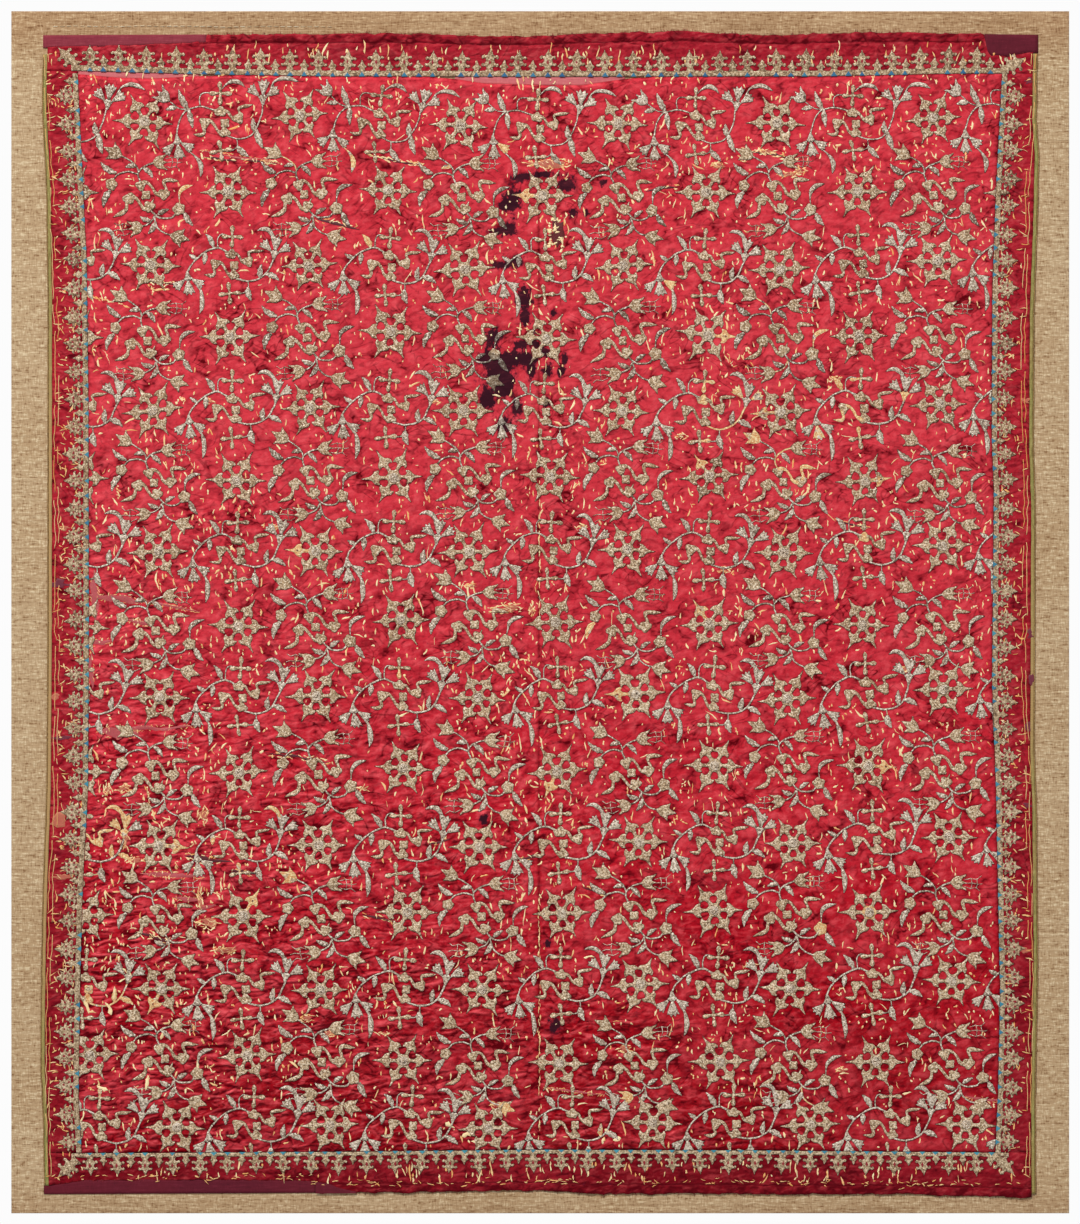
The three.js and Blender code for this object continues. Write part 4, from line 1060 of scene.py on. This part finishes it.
workLook = {  # height, crown of a broad form, finish, slot
    "stars": (stars, 1.7, 0.5, goldThread, "metal_thread"),
    "cloudBands": (goldWork, 1.6, 0.1, goldThread, "metal_thread"),
    "stemsAndLeaves": (silverWork, 1.5, 0.1, silverThread, "silver_thread"),
}


def raised(pile, height, crown, ground=clothHeight):  # places of the work's points on the cloth
    x, y = pile.points.T
    swell = np.clip(pile.depth, 0, 1) ** 0.7
    flat = 1 - 0.55 * pile.lost
    z = ground(x, y) - 0.15 + (height + 0.27) * swell * flat
    z = z + crown * np.clip(pile.depth / 14, 0, 1) ** 2 + 0.12 * ripple(x, y, 2.6, 91) * swell
    return np.column_stack([x, y, z])


worked = {"Left": [], "Right": []}
for name, (pile, height, crown, material, slot) in workLook.items():
    places = raised(pile, height, crown)
    middle = places[pile.faces].mean(axis=1)[:, 0]
    values = {"depth": pile.depth, "tone": pile.tone, "lost": pile.lost, "stain": stainAt(*places[:, :2].T)}
    for side, chosen in (("Left", middle < seamX), ("Right", middle >= seamX)):
        piece = addMesh(name + side, places, facingUp(places, pile.faces[chosen]), values, material)
        worked[side].append(piece)

# The coil in the middle of each star, a wound silver cord, and the dark eyes in its petals.
coilLook = {"turns": 3, "reach": 7.0, "cord": 1.05, "steps": 26, "sides": 4, "eyeAt": 25}


def tube(line, radius, sides):  # a round cord along points, with flat ends
    line = np.asarray(line, float)
    ahead = np.gradient(line, axis=0)
    ahead /= np.linalg.norm(ahead, axis=1)[:, None] + 1e-9
    side = np.cross(ahead, [0, 0, 1])
    side /= np.linalg.norm(side, axis=1)[:, None] + 1e-9
    over = np.cross(side, ahead)
    angles = np.linspace(0, 2 * np.pi, sides, endpoint=False)
    rings = line[:, None] + radius * (np.cos(angles)[None, :, None] * side[:, None]
                                      + np.sin(angles)[None, :, None] * over[:, None])
    faces = []
    last = (len(line) - 1) * sides
    for start in range(0, last, sides):
        for k, after in enumerate([*range(1, sides), 0]):
            faces.append([start + k, start + sides + k, start + sides + after, start + after])
    faces += [list(range(sides)), list(range(last + sides - 1, last - 1, -1))]
    return rings.reshape(-1, 3), faces


class Bundle:  # many small closed forms in one mesh
    def __init__(self):
        self.points, self.faces, self.tone, self.count = [], [], [], 0

    def add(self, points, faces, tone):
        points = np.asarray(points, float)
        self.points.append(points)
        self.faces += [[v + self.count for v in face] for face in faces]
        self.tone.append(np.full(len(points), tone) if np.isscalar(tone) else np.asarray(tone))
        self.count += len(points)

    def made(self, name, material, slot, extra=None):
        tone = np.concatenate(self.tone)
        values = {"tone": tone, **{key: np.full(len(tone), value) for key, value in (extra or {}).items()}}
        addMesh(name, np.vstack(self.points), self.faces, values, material)


def gridFaces(rows, cols, down=True):  # the quads of rows of points, each begun down the rows or along one
    faces = []
    for first in (r * cols + k for r in range(rows - 1) for k in range(cols - 1)):
        quad = [first, first + cols, first + cols + 1, first + 1]
        faces.append(quad if down else [quad[0], *quad[:0:-1]])
    return faces


unspoilt = {"lost": 0.0, "stain": 0.0}
coils, eyes = Bundle(), Bundle()


def addEye(x, y, turn, length, width, level, tone):  # a small almond, its middle raised
    rim = [(-length / 2, 0, level - 0.5), (0, -width / 2, level - 0.5), (length / 2, 0, level - 0.5),
           (0, width / 2, level - 0.5)]
    points = [*moved(rim, x, y, turn), (x, y, level)]
    eyes.add(points, facingUp(points, [[0, 1, 4], [1, 2, 4], [2, 3, 4], [3, 0, 4]]), tone)


for x, y, turn in coilPlaces:
    if not edge("guardLeft", y) + 8 < x < edge("guardRight", y) - 8:
        continue
    start, way = random.uniform(0, 6.28), np.linspace(0, 1, coilLook["steps"])
    angle = start + way * coilLook["turns"] * 2 * np.pi
    reach = coilLook["reach"] * (0.12 + 0.88 * way)
    wx, wy = handDrawn(x + reach * np.cos(angle), y + reach * np.sin(angle))
    level = clothHeight(wx, wy) + 2.2 + 0.5 * (1 - way)
    places = np.column_stack([wx, wy, level])
    coils.add(*tube(places, coilLook["cord"], coilLook["sides"]), random.uniform(0.7, 1))
    for way in range(30, 390, 60):
        toward = np.radians(turn + way + 90)
        ex, ey = handDrawn(x + coilLook["eyeAt"] * np.cos(toward), y + coilLook["eyeAt"] * np.sin(toward))
        if abs(ex) < 645:
            addEye(ex, ey, turn + way + 90, 4.4, 2, clothHeight(ex, ey) + 2.2, random.random())
coils.made("starCoils", silverThread, "silver_thread", {"depth": 3.0, **unspoilt})
print("embroidery raised")


palmettes = Pile()
borderCuts = {name: cutMotif([patch(mirrored(half))], cutLook["border"])
              for name, half in palmetteHalves.items()}
triangles = Bundle()
sides = {  # outwards, pitch, half length of the row, width of the guard band
    "Top": (0, 1, 40.0, 640, 8.2), "Bottom": (0, -1, 38.6, 640, 6.0),
    "Left": (-1, 0, 38.3, 752, 7.8), "Right": (1, 0, 38.3, 752, 7.8),
}
bandLevel = satinTop + 1.1


def bandPlace(side, at, out):  # a point on a border, at a place along it and a distance outwards
    ox, oy = sides[side][:2]
    inner = edge("guard" + side, at)
    return (at, inner + oy * out) if ox == 0 else (inner + ox * out, at)


for side, (ox, oy, pitch, reach, broad) in sides.items():
    facing = {"Top": 0, "Bottom": 180, "Left": 90, "Right": -90}[side]
    for k, at in enumerate(np.linspace(-reach, reach, int(4 * reach / pitch))):
        at = at + random.uniform(-1.0, 1.0)
        x, y = bandPlace(side, at, broad - 0.8)
        name = "small" if k % 2 else "long" if ox == 0 else "side"
        size = 1.05 if side == "Top" else 0.94 if side == "Bottom" else 0.88 if k % 2 else 1.0
        turn, size = facing + random.uniform(-5, 5), size * random.uniform(0.95, 1.05)
        palmettes.add(borderCuts[name], x, y, turn, size, 0.4)
        if name == "long":
            ex, ey = bandPlace(side, at, broad + 12)
            addEye(ex, ey, facing + 90, 7.4, 3.8, bandLevel + 1.1, random.uniform(0.9, 1))
        if name == "side":
            for along, out in (-6.4, 6.2), (6.4, 6.2), (-3.4, 13.5), (3.4, 13.5), (0, 3):
                ex, ey = bandPlace(side, at + along + random.normal(0, 0.5), broad + out)
                turn, length = random.uniform(0, 180), random.uniform(4, 6.4)
                addEye(ex, ey, turn, length, random.uniform(2.8, 4), bandLevel + 1.2, 1)
        missing = side == "Left" and at < -250 and random.random() < 0.5
        if missing or random.random() < 0.06:
            continue
        half, tall = random.uniform(3.8, 4.9), random.uniform(0.62, 0.85) * min(broad, 8.2)
        if oy == 0:
            half, tall = half * 0.85, 6.4
        corners = [bandPlace(side, at + aside, out - 0.2) for aside,
                   out in ((-half, 0), (half, 0), (0, tall))]
        middle = np.mean(corners, axis=0)
        points = [(px, py, bandLevel + 0.3) for px, py in corners] + [(*middle, bandLevel + 1.0)]
        blue = random.uniform(*{"Top": (0, 0.35), "Bottom": (0.55, 0.9)}.get(side, (0.3, 0.8)))
        triangles.add(points, facingUp(np.array(points), [[0, 1, 3], [1, 2, 3], [2, 0, 3]]), blue)
for x, y, turn in ((-661, 776, 45), (658, 771, -60), (-660, -779, 135), (648, -773, -135)):
    palmettes.add(borderCuts["long"], x, y, turn, 1.15)
palmettes.gathered()
px, py = palmettes.points.T
palmettes.points = np.column_stack([np.clip(px, redEdge("Left", py) + 1, redEdge("Right", py) - 1), py])
places = raised(palmettes, 1.5, 0.2, stripHeight)
values = {"depth": palmettes.depth, "tone": palmettes.tone, "lost": np.zeros(len(px)),
          "stain": np.zeros(len(px))}
addMesh("palmettes", places, facingUp(places, palmettes.faces), values, brownThread)
triangles.made("blueTriangles", floss["blue"], "blue_silk")
eyes.made("darkEyes", floss["dark"], "field_satin")

band = Bundle()
bandDepth = []
profile = [(0.0, -0.2), (0.06, 0.7), (0.25, 1.1), (0.5, 1.15), (0.75, 1.1), (0.93, 0.7), (1.0, -0.2)]
for side, (ox, oy, pitch, reach, broad) in sides.items():
    ends = (edge("guardLeft", 765) - 9, edge("guardRight", 765) + 9) if ox == 0 else (-767, 765)
    at = np.linspace(*ends, 420)
    points = []
    for share, high in profile:
        out = share * broad
        wobble = 0.7 * ripple(at, at * 0 + out * 3, 6, 101) * (share > 0.6)
        x, y = np.broadcast_arrays(*bandPlace(side, at, out + wobble))
        points.append(np.column_stack([x, y, satinTop + 0.1 + high + 0.15 * ripple(x, y, 3, 102)]))
        bandDepth.append(np.full(len(at), min(out, broad - out)))
    points = np.vstack(points)
    band.add(points, facingUp(points, gridFaces(len(profile), len(at), False)), 0.5)
band.made("guardBand", brownThread, "metal_thread", {"depth": np.concatenate(bandDepth), **unspoilt})
print("border embroidered")


slitLook = {"count": 4500, "tries": 34000, "workBlur": 1.5, "clear": 0.12, "upright": 0.7,
            "Left": 520, "Right": 320, "Top": 150, "Bottom": 150, "hem": 190}
coverHere = blurred(cover, slitLook["workBlur"])
slits = Bundle()


def addSliver(bundle, x, y, turn, length, width, tone, height=0.35, level=clothHeight):
    share = np.array([-1, -0.6, 0, 0.5, 1])
    wide = np.array([0.1, *random.uniform(0.4, 1.2, 3), 0.1]) * width / 2
    c, s = np.cos(np.radians(turn)), np.sin(np.radians(turn))
    bend = random.uniform(-0.12, 0.12) * length * share**2 + random.uniform(-0.04, 0.04, 5) * length
    points = []
    for sign, high in ((1, 0.0), (0, height), (-1, 0.0)):
        lx, ly = share * length / 2, bend + sign * wide
        wx, wy = x + c * lx - s * ly, y + s * lx + c * ly
        points.append(np.column_stack([wx, wy, level(wx, wy) - 0.05 + high]))
    points = np.vstack(points)
    bundle.add(points, facingUp(points, gridFaces(3, 5)), tone)


def overStrip(rise):
    return lambda x, y: stripHeight(x, y) + rise


def scatter(bundle, x, y, across, up, count, turn, spread):  # slivers within an oval
    for _ in range(count):
        angle, out = random.uniform(0, 6.28), random.random() ** 0.4
        addSliver(bundle, x + across * out * np.cos(angle), y + up * out * np.sin(angle),
                  turn + random.normal(0, spread), random.uniform(4, 10), random.uniform(1.2, 2.6),
                  random.uniform(0.1, 1.0), 0.7)


tried = made = 0
while made < slitLook["count"] and tried < slitLook["tries"]:
    tried += 1
    x, y = random.uniform(-650, 650), random.uniform(-765, 765)
    left, right = edge("guardLeft", y) + 4, edge("guardRight", y) - 4
    dense = 0.55 + 0.45 * ripple(x, y, 90, 111) + (0.35 if x < -450 and y < -200 else 0)
    if not left < x < right or onGrid(coverHere, x, y) > slitLook["clear"] or random.random() > dense:
        continue
    turn = 90 + random.normal(0, 16) if random.random() < slitLook["upright"] else random.uniform(0, 180)
    length, width = random.gamma(1.3, 3.4) + 2.2, random.uniform(1.3, 3.2)
    addSliver(slits, x, y, turn, length, width, random.random() ** 0.6, 0.6)
    made += 1
seamOpen = [(699, 748.7), (-11, 187.8), (-813, -408.6)]  # the heights between which the seam has come open
for y in np.arange(-760, 755, 4.5):
    if any(low < y < high for low, high in seamOpen) and random.random() < 0.75:
        x, turn = seamX + random.normal(0, 0.8), 90 + random.normal(0, 5)
        length, width = random.uniform(5, 9), random.uniform(1.2, 2.4)
        addSliver(slits, x, y, turn, length, width, 0.3 + 0.5 * random.random())
for side in ("Left", "Right"):  # slits in the border strips
    for _ in range(slitLook[side]):
        x, y = bandPlace(side, random.uniform(-770, 770), random.uniform(8, 42))
        turn, length = random.choice([90, 0]) + random.normal(0, 20), random.uniform(3, 11)
        width, tone = random.uniform(1.0, 2.2), 0.6 * random.random()
        addSliver(slits, x, y, turn, length, width, tone, level=overStrip(0.9))
for side in ("Top", "Bottom"):
    for _ in range(slitLook[side]):
        x, out = random.uniform(-690, 690), random.uniform(18, 44)
        if (x < -470 or x > 625) and side == "Top" and out > 28 or side == "Bottom" and x < -330 and out > 36:
            continue
        x, y = bandPlace(side, x, out)
        turn, length = 90 + random.normal(0, 12), random.gamma(2, 3) + 3
        addSliver(slits, x, y, turn, length, random.uniform(1.4, 2.8), random.random(), level=overStrip(0.4))
for x in random.uniform(-690, 690, slitLook["hem"]):  # along the fold of the lower hem
    x, y = bandPlace("Bottom", x, (35 if x < -325 else 45) + random.normal(0, 2.4))
    turn, length = random.normal(0, 22), random.uniform(3, 10)
    width, tone = random.uniform(0.8, 1.7), 0.45 * random.random()
    addSliver(slits, x, y, turn, length, width, tone, level=overStrip(1.0))
slits.made("slits", floss["yellow"], "padding")

# Tears: x, y at one end, x, y at the other, width. Pink cloth shows in the first table, padding in the
# second. The satin gapes in the third: its dark inside is a painted shadow, with yellow threads left along
# both lips.
pinkTears = [
    (-628, -168, -570, -172, 17), (-600, -167, -490, -162, 6), (-642, 24, -560, 15, 9),
    (-586, -12, -552, -18, 6), (-641, -45, -610, -40, 10), (-634, 60, -632, -14, 9),
    (-639, -58, -637, -108, 7), (-568, -369, -477, -377, 7), (-520, -406, -483, -408, 6),
    (-486, -423, -460, -417, 6), (-570, 17, -483, 0, 3.6), (7, -675, 92, -686, 3.5),
    (603, -688, 653, -695, 5), (-482, 656, -371, 638, 3),
]
yellowTears = [
    (-577, 458, -524, 458, 3), (-641, 450, -580, 432, 3.4), (-640, 462, -631, 408, 3),
    (-242, 649, -164, 635, 3), (291, 656, 369, 642, 3), (-505, -345, -470, -362, 3),
    (-560, -250, -545, -300, 3),
]
gashes = [
    (-482, 648, -430, 640, 3), (-425, 641, -373, 638, 3.4), (-243, 647, -168, 635, 3.4),
    (-318, 558, -256, 543, 5), (-560, 470, -514, 464, 4), (291, 656, 369, 642, 4),
    (-505, -345, -438, -356, 6), (-440, -367, -400, -372, 5), (-390, -200, -300, -212, 4),
    (-575, -455, -520, -470, 5), (-250, -430, -205, -438, 4), (60, -390, 96, -402, 4),
    (-160, -330, -128, -322, 4), (-30, -352, 8, -344, 5), (-20, 400, 2, 392, 4), (150, 598, 196, 604, 4),
    (420, 130, 470, 118, 3),
]
pinkBundle, yellowBundle, gashShadowBundle = Bundle(), Bundle(), Bundle()


def addTear(bundle, x0, y0, x1, y1, width, tone):
    length = np.hypot(x1 - x0, y1 - y0)
    count = max(6, int(length / 3))
    t = np.linspace(0, 1, count)
    nx, ny = -(y1 - y0) / length, (x1 - x0) / length
    shape = width / 2 * np.sin(np.pi * np.clip(t, 0.02, 0.98)) ** 0.6
    seed = int(abs(x0) + abs(y0))
    upper, lower = (shape * (1 + 0.6 * ripple(t * length, t * 0 + shift, 6, seed)) for shift in (0, 9))
    wander = 2.0 * ripple(t * length, t * 0 + 40, 22, seed)
    points = []
    for offset, high in ((upper, -0.1), (upper * 0.6, 0.25), (-lower * 0.6, 0.25), (-lower, -0.1)):
        wx, wy = mix(x0, x1, t) + nx * (offset + wander), mix(y0, y1, t) + ny * (offset + wander)
        points.append(np.column_stack([wx, wy, clothHeight(wx, wy) + high]))
    points = np.vstack(points)
    bundle.add(points, facingUp(points, gridFaces(4, count)), tone)


def lineOf(x0, y0, x1, y1):  # a line's length, its direction in degrees and the sine of that
    turn = np.degrees(np.arctan2(y1 - y0, x1 - x0))
    return np.hypot(x1 - x0, y1 - y0), turn, np.sin(np.radians(turn))


for x0, y0, x1, y1, width in pinkTears:
    addTear(pinkBundle, x0, y0, x1, y1, width, 0.3)
    long, turn, slope = lineOf(x0, y0, x1, y1)
    for t in np.arange(0, 1, 3.5 / long):
        for lip in (-width / 2, width / 2):
            if random.random() < 0.6:
                lip *= np.sin(np.pi * t) ** 0.6 + random.uniform(-0.1, 0.25)
                x, y = mix(x0, x1, t) - lip * slope, mix(y0, y1, t) + lip
                addSliver(yellowBundle, x, y, turn + random.normal(0, 35), random.uniform(2.5, 7),
                          random.uniform(0.9, 1.6), 0.5 * random.random())
for x0, y0, x1, y1, width in yellowTears:  # broken rows of floss
    long, turn, slope = lineOf(x0, y0, x1, y1)
    for t in np.arange(0, 1, 5 / long):
        if random.random() < 0.75:
            x, y = mix(x0, x1, t) + random.normal(0, 1), mix(y0, y1, t) + random.normal(0, 1)
            addSliver(yellowBundle, x, y, turn + random.normal(0, 18), random.uniform(5, 12),
                      width * random.uniform(0.5, 1), random.random(), 0.7)
for x0, y0, x1, y1, width in gashes:
    addTear(gashShadowBundle, x0, y0, x1, y1, width, 0.0)
    long, turn, slope = lineOf(x0, y0, x1, y1)
    for _ in range(int(long / 5)):
        t, lip = random.random(), random.choice([-1, 1]) * (width / 2 + random.uniform(-0.5, 1))
        x, y = mix(x0, x1, t) - lip * slope, mix(y0, y1, t) + lip
        addSliver(yellowBundle, x, y, turn + random.normal(0, 25), random.uniform(4, 11),
                  random.uniform(1.2, 2.6), random.random(), 0.6)

# Worn patches: x, y, reach across, reach up. On the strips, 1 shows padding and 0 plum cloth.
wornPlaces = [
    (292, 645, 11, 6), (320, 654, 19, 4), (353, 622, 16, 5), (369, 627, 9, 6), (254, 634, 14, 5),
    (-388, 640, 9, 6), (-44, 6, 20, 8), (-13, 3, 5, 11), (-97, 37, 10, 4), (-330, -577, 11, 6),
    (-300, -598, 9, 8), (-222, -598, 8, 3), (-592, -250, 14, 7), (-614, -252, 7, 8), (-590, -322, 7, 14),
    (-479, -288, 8, 14), (-483, -412, 5, 26), (-472, -441, 17, 10), (-446, -480, 20, 6), (-575, -352, 14, 5),
    (-150, 300, 8, 5), (200, 250, 9, 5), (12, 637, 36, 9), (-53, 3, 22, 6), (420, 330, 10, 5),
    (-380, 120, 8, 4), (520, -80, 8, 5), (300, -500, 9, 5), (120, -620, 10, 6), (-60, -700, 12, 6),
    (430, -650, 8, 5), (560, 500, 8, 4), (-470, 300, 9, 4), (60, 120, 7, 5), (-250, -250, 9, 4),
    (260, 60, 9, 5),
]
stripPatches = [
    (-684, -296, 12, 12, 1), (-678, -375, 14, 4, 1), (-680, -178, 14, 4, 0), (-690, -120, 8, 5, 1),
    (-676, 120, 9, 4, 1), (-683, 40, 16, 7, 0), (694, 754, 6, 5, 0), (696, -31, 5, 9, 0),
    (697, -96, 5, 10, 0), (694, -163, 6, 9, 0), (692, -274, 6, 6, 0), (690, 300, 7, 5, 1),
    (688, -480, 8, 5, 1), (-682, -560, 9, 5, 1),
]
wornBundle, plumBundle, holeBundle, wedgeBundle = Bundle(), Bundle(), Bundle(), Bundle()


def addPatch(bundle, x, y, across, up, level, plain=False):  # a ragged patch with a lighter rim
    count, seed = 18, int(abs(x) * 3 + abs(y))
    angle = np.linspace(0, 2 * np.pi, count, endpoint=False)
    ragged = 0.8 + 0.5 * ripple(9 * np.cos(angle), 9 * np.sin(angle), 3.0, seed)
    points, tone = [[x, y, float(level(x, y)) + 0.35]], [0.1]
    for share, high in ((0.7, 0.35), (0.9, 0.4), (1.0, -0.1)):
        px, py = x + across * share * ragged * np.cos(angle), y + up * share * ragged * np.sin(angle)
        points += [*np.column_stack([px, py, level(px, py) + high])]
        paler = (0 if plain else 0.85) * (share > 0.95) * (0.6 + 0.5 * ripple(px, py, 4, seed))
        tone += [*np.clip(0.15 + paler, 0, 1)]
    faces = [[0, 1 + k, 1 + (k + 1) % count] for k in range(count)]
    for ring in range(2):
        start = 1 + ring * count
        faces += [[start + k, start + count + k, start + count + (k + 1) % count, start + (k + 1) % count]
                  for k in range(count)]
    points = np.array(points)
    bundle.add(points, facingUp(points, faces), np.array(tone))


for x, y, across, up in wornPlaces:
    addPatch(wornBundle, x, y, across * 0.75, up * 0.7, clothHeight)
    scatter(yellowBundle, x, y, across, up, 7 + int(across * up / 9), 0 if across > up else 90, 30)
addPatch(holeBundle, 23, 535, 12, 28, clothHeight, True)  # the hole beside the stains, with floss left in it
for x, y, across, up, count in (
        (14, 535, 3, 24, 14), (30, 520, 4, 12, 6), (24, 557, 9, 3, 7), (22, 535, 7, 18, 9)):
    for _ in range(count):
        px, py = x + random.normal(0, 0.5) * across, y + random.uniform(-1, 1) * up
        addSliver(yellowBundle, px, py, random.normal(0, 35), random.uniform(4, 8), random.uniform(2.2, 4),
                  random.uniform(0.75, 1), 1.2)
# Places where cream cloth or floss lies bare: x, y, turn, length, width.
for x, y, turn, length, width in (
        (-622, -676, -25, 17, 6), (-583, -519, 70, 15, 8), (-590, -508, -40, 16, 4), (-643, -560, -70, 20, 8),
        (-612, -562, -60, 20, 8), (-604, -541, 80, 20, 6), (-380, -543, 75, 19, 7), (-487, -363, 10, 12, 6),
        (-128, -728, -30, 15, 7), (-104, -741, 20, 16, 8), (-92, -752, -10, 12, 6), (97, -738, -35, 14, 6),
        (109, -748, 15, 12, 6), (-558, -668, 80, 22, 5), (-486, -640, 85, 24, 4), (-536, -598, 80, 18, 4)):
    addSliver(yellowBundle, x, y, turn, length, width, random.uniform(0.7, 1), 1.6)
for x, y, across, up, yellow in stripPatches:
    addPatch(wornBundle if yellow else plumBundle, x, y, across, up, stripHeight, not yellow)
# The thin end of the lower left mend, laid over the strip: its upper edge, and rows of (share down, height).
wedge = np.array([(-319, -808.5), (-300, -811.5), (-288, -816.5), (-277, -819.5), (-262, -822.5)])
gx = np.linspace(-319, -262, 20)
upper, lower = np.interp(gx, *wedge.T), edge("outerBottom", gx) - 0.6
places = np.vstack([np.column_stack([gx, mix(upper, lower, share), 0 * gx + satinTop + high])
                    for share, high in ((0, 0.7), (0.3, 1.3), (1, 1.2))])
wedgeBundle.add(places, facingUp(places, gridFaces(3, 20, False)), 0.0)
for name, bundle, material, slot in (
        ("plumWedge", wedgeBundle, plumFinish, "plum_cloth"),
        ("hole", holeBundle, floss["hole"], "field_satin"),
        ("wornPatches", wornBundle, floss["worn"], "padding"),
        ("plumSpots", plumBundle, floss["plum"], "plum_cloth"),
        ("gashes", gashShadowBundle, floss["red"], "field_satin"),
        ("pinkTears", pinkBundle, floss["pink"], "pink_cloth"),
        ("yellowTears", yellowBundle, floss["yellow"], "padding")):
    bundle.made(name, material, slot)

threads = Bundle()  # yellow couching beside the sides, in broken runs: how far out, longest gap
for side in ("Left", "Right"):
    for out, gap in (48.0, 12), (43.0, 60):
        y = -800.0
        while y < 790:
            run = random.uniform(25, 110)
            at = np.arange(y, min(y + run, 795), 4.0)
            if len(at) > 3:
                wander = 1.6 * ripple(at, at * 0 + out, 13, 121) + 2.2 * ripple(at, at * 0 + out, 55, 122)
                px, py = bandPlace(side, at, out + wander)
                line = np.column_stack([px, py, stripHeight(px, py) + 0.5])
                threads.add(*tube(line, 0.55, 4), 0.5 * random.random())
                for k in range(0, 3 * random.integers(0, 3), 3):  # loose ends across the line
                    x, turn = px[k] - np.sign(px[0]) * 4, random.normal(0, 30)
                    length, tone = random.uniform(6, 15), random.random() * 0.6
                    addSliver(threads, x, py[k], turn, length, 1.4, tone, 0.7, overStrip(0.3))
            y += run + random.uniform(2, gap)
threads.made("couchedLines", floss["yellow"], "padding")
stamenBundle = Bundle()
for line in stamens:
    x, y = handDrawn(*np.array([row[:2] for row in line]).T)
    inside = (x > edge("guardLeft", y) + 2) & (x < edge("guardRight", y) - 2)
    if (inside & (y < fieldTop(x) - 2) & (y > edge("guardBottom", x) + 2)).all():
        line = np.column_stack([x, y, clothHeight(x, y) + 0.4])
        stamenBundle.add(*tube(line, 0.6, 3), random.uniform(0, 0.5))
stamenBundle.made("stamens", silverThread, "silver_thread", {"depth": 1.4, **unspoilt})
stitches = Bundle()  # the pale running stitch on the mount above the panel
for x in np.arange(-692, -300, 9.5):
    y = 832 + 1.0 * float(ripple(x, 0, 30, 131))
    line = [(x + ahead, y, mountHigh[2] + high) for ahead, high in ((0, 0.1), (2, 0.6), (5, 0.6), (7, 0.1))]
    stitches.add(*tube(line, 0.45, 4), random.random())
stitches.made("mountStitches", floss["pale"], "mount_cloth")
frays = Bundle()
for side, sign in (("Top", 1), ("Bottom", -1)):
    for x in random.uniform(-690, 690, 260):
        y = float(wornEdge(side, np.array([x]))[0]) - sign * 1.5
        long = random.uniform(2.0, 5.5)
        tip = (x + random.normal(0, 1.5), y + sign * long)
        line = [(x, y, clothBase + 1.2), ((x + tip[0]) / 2, y + sign * long / 2, clothBase + 1.0),
                (*tip, clothBase + 0.4)]
        frays.add(*tube(line, 0.28, 3), random.random())
frays.made("frayedEnds", floss["red"], "border_satin")
print("threads laid")


floorMesh = bpy.data.meshes.new("floor")
floorMesh.from_pydata([(-6, -6, 0), (6, -6, 0), (6, 6, 0), (-6, 6, 0)], [], [(0, 1, 2, 3)])
floor = bpy.data.objects.new("floor", floorMesh)
bpy.context.scene.collection.objects.link(floor)
floorMesh.materials.append(Paint("floorPaint").finish({
    "Base Color": rgb(0, 0, 0), "Roughness": 1.0, "Specular IOR Level": 0.0,
    "Emission Color": rgb(252, 252, 252),
    "Emission Strength": 1.0}))

photo = {"wide": 1080, "high": 1224, "scale": 1.42, "distance": 6.0}
camera = bpy.data.objects.new("camera", bpy.data.cameras.new("camera"))
camera.location = (-0.00035, 0.00035, photo["distance"])
faceAway = photo["distance"] - satinTop * 0.001
camera.data.lens = 18 * faceAway / (photo["high"] * photo["scale"] * 0.0005)
camera.data.clip_end = 50
bpy.context.scene.collection.objects.link(camera)
bpy.context.scene.camera = camera

lightLook = {"sky": 0.3, "key": 1380, "fill": 170}
world = bpy.data.worlds.new("studio")
world.use_nodes = True
sky = world.node_tree.nodes["Background"].inputs
sky["Color"].default_value = (1.0, 1.0, 1.0, 1.0)
sky["Strength"].default_value = lightLook["sky"]
bpy.context.scene.world = world


def addLight(name, place, size, power):
    lamp = bpy.data.objects.new(name, bpy.data.lights.new(name, "AREA"))
    lamp.data.size, lamp.data.energy = size, power
    lamp.location = place
    lamp.rotation_mode = "QUATERNION"
    lamp.rotation_quaternion = Vector(place).to_track_quat("Z", "Y")
    bpy.context.scene.collection.objects.link(lamp)


addLight("keyLight", (-3.6, 8.4, 8.2), 3.0, lightLook["key"])
addLight("fillLight", (5.5, -7.0, 8.5), 6.0, lightLook["fill"])
bpy.context.scene.view_settings.view_transform = "Standard"

print("stage set")
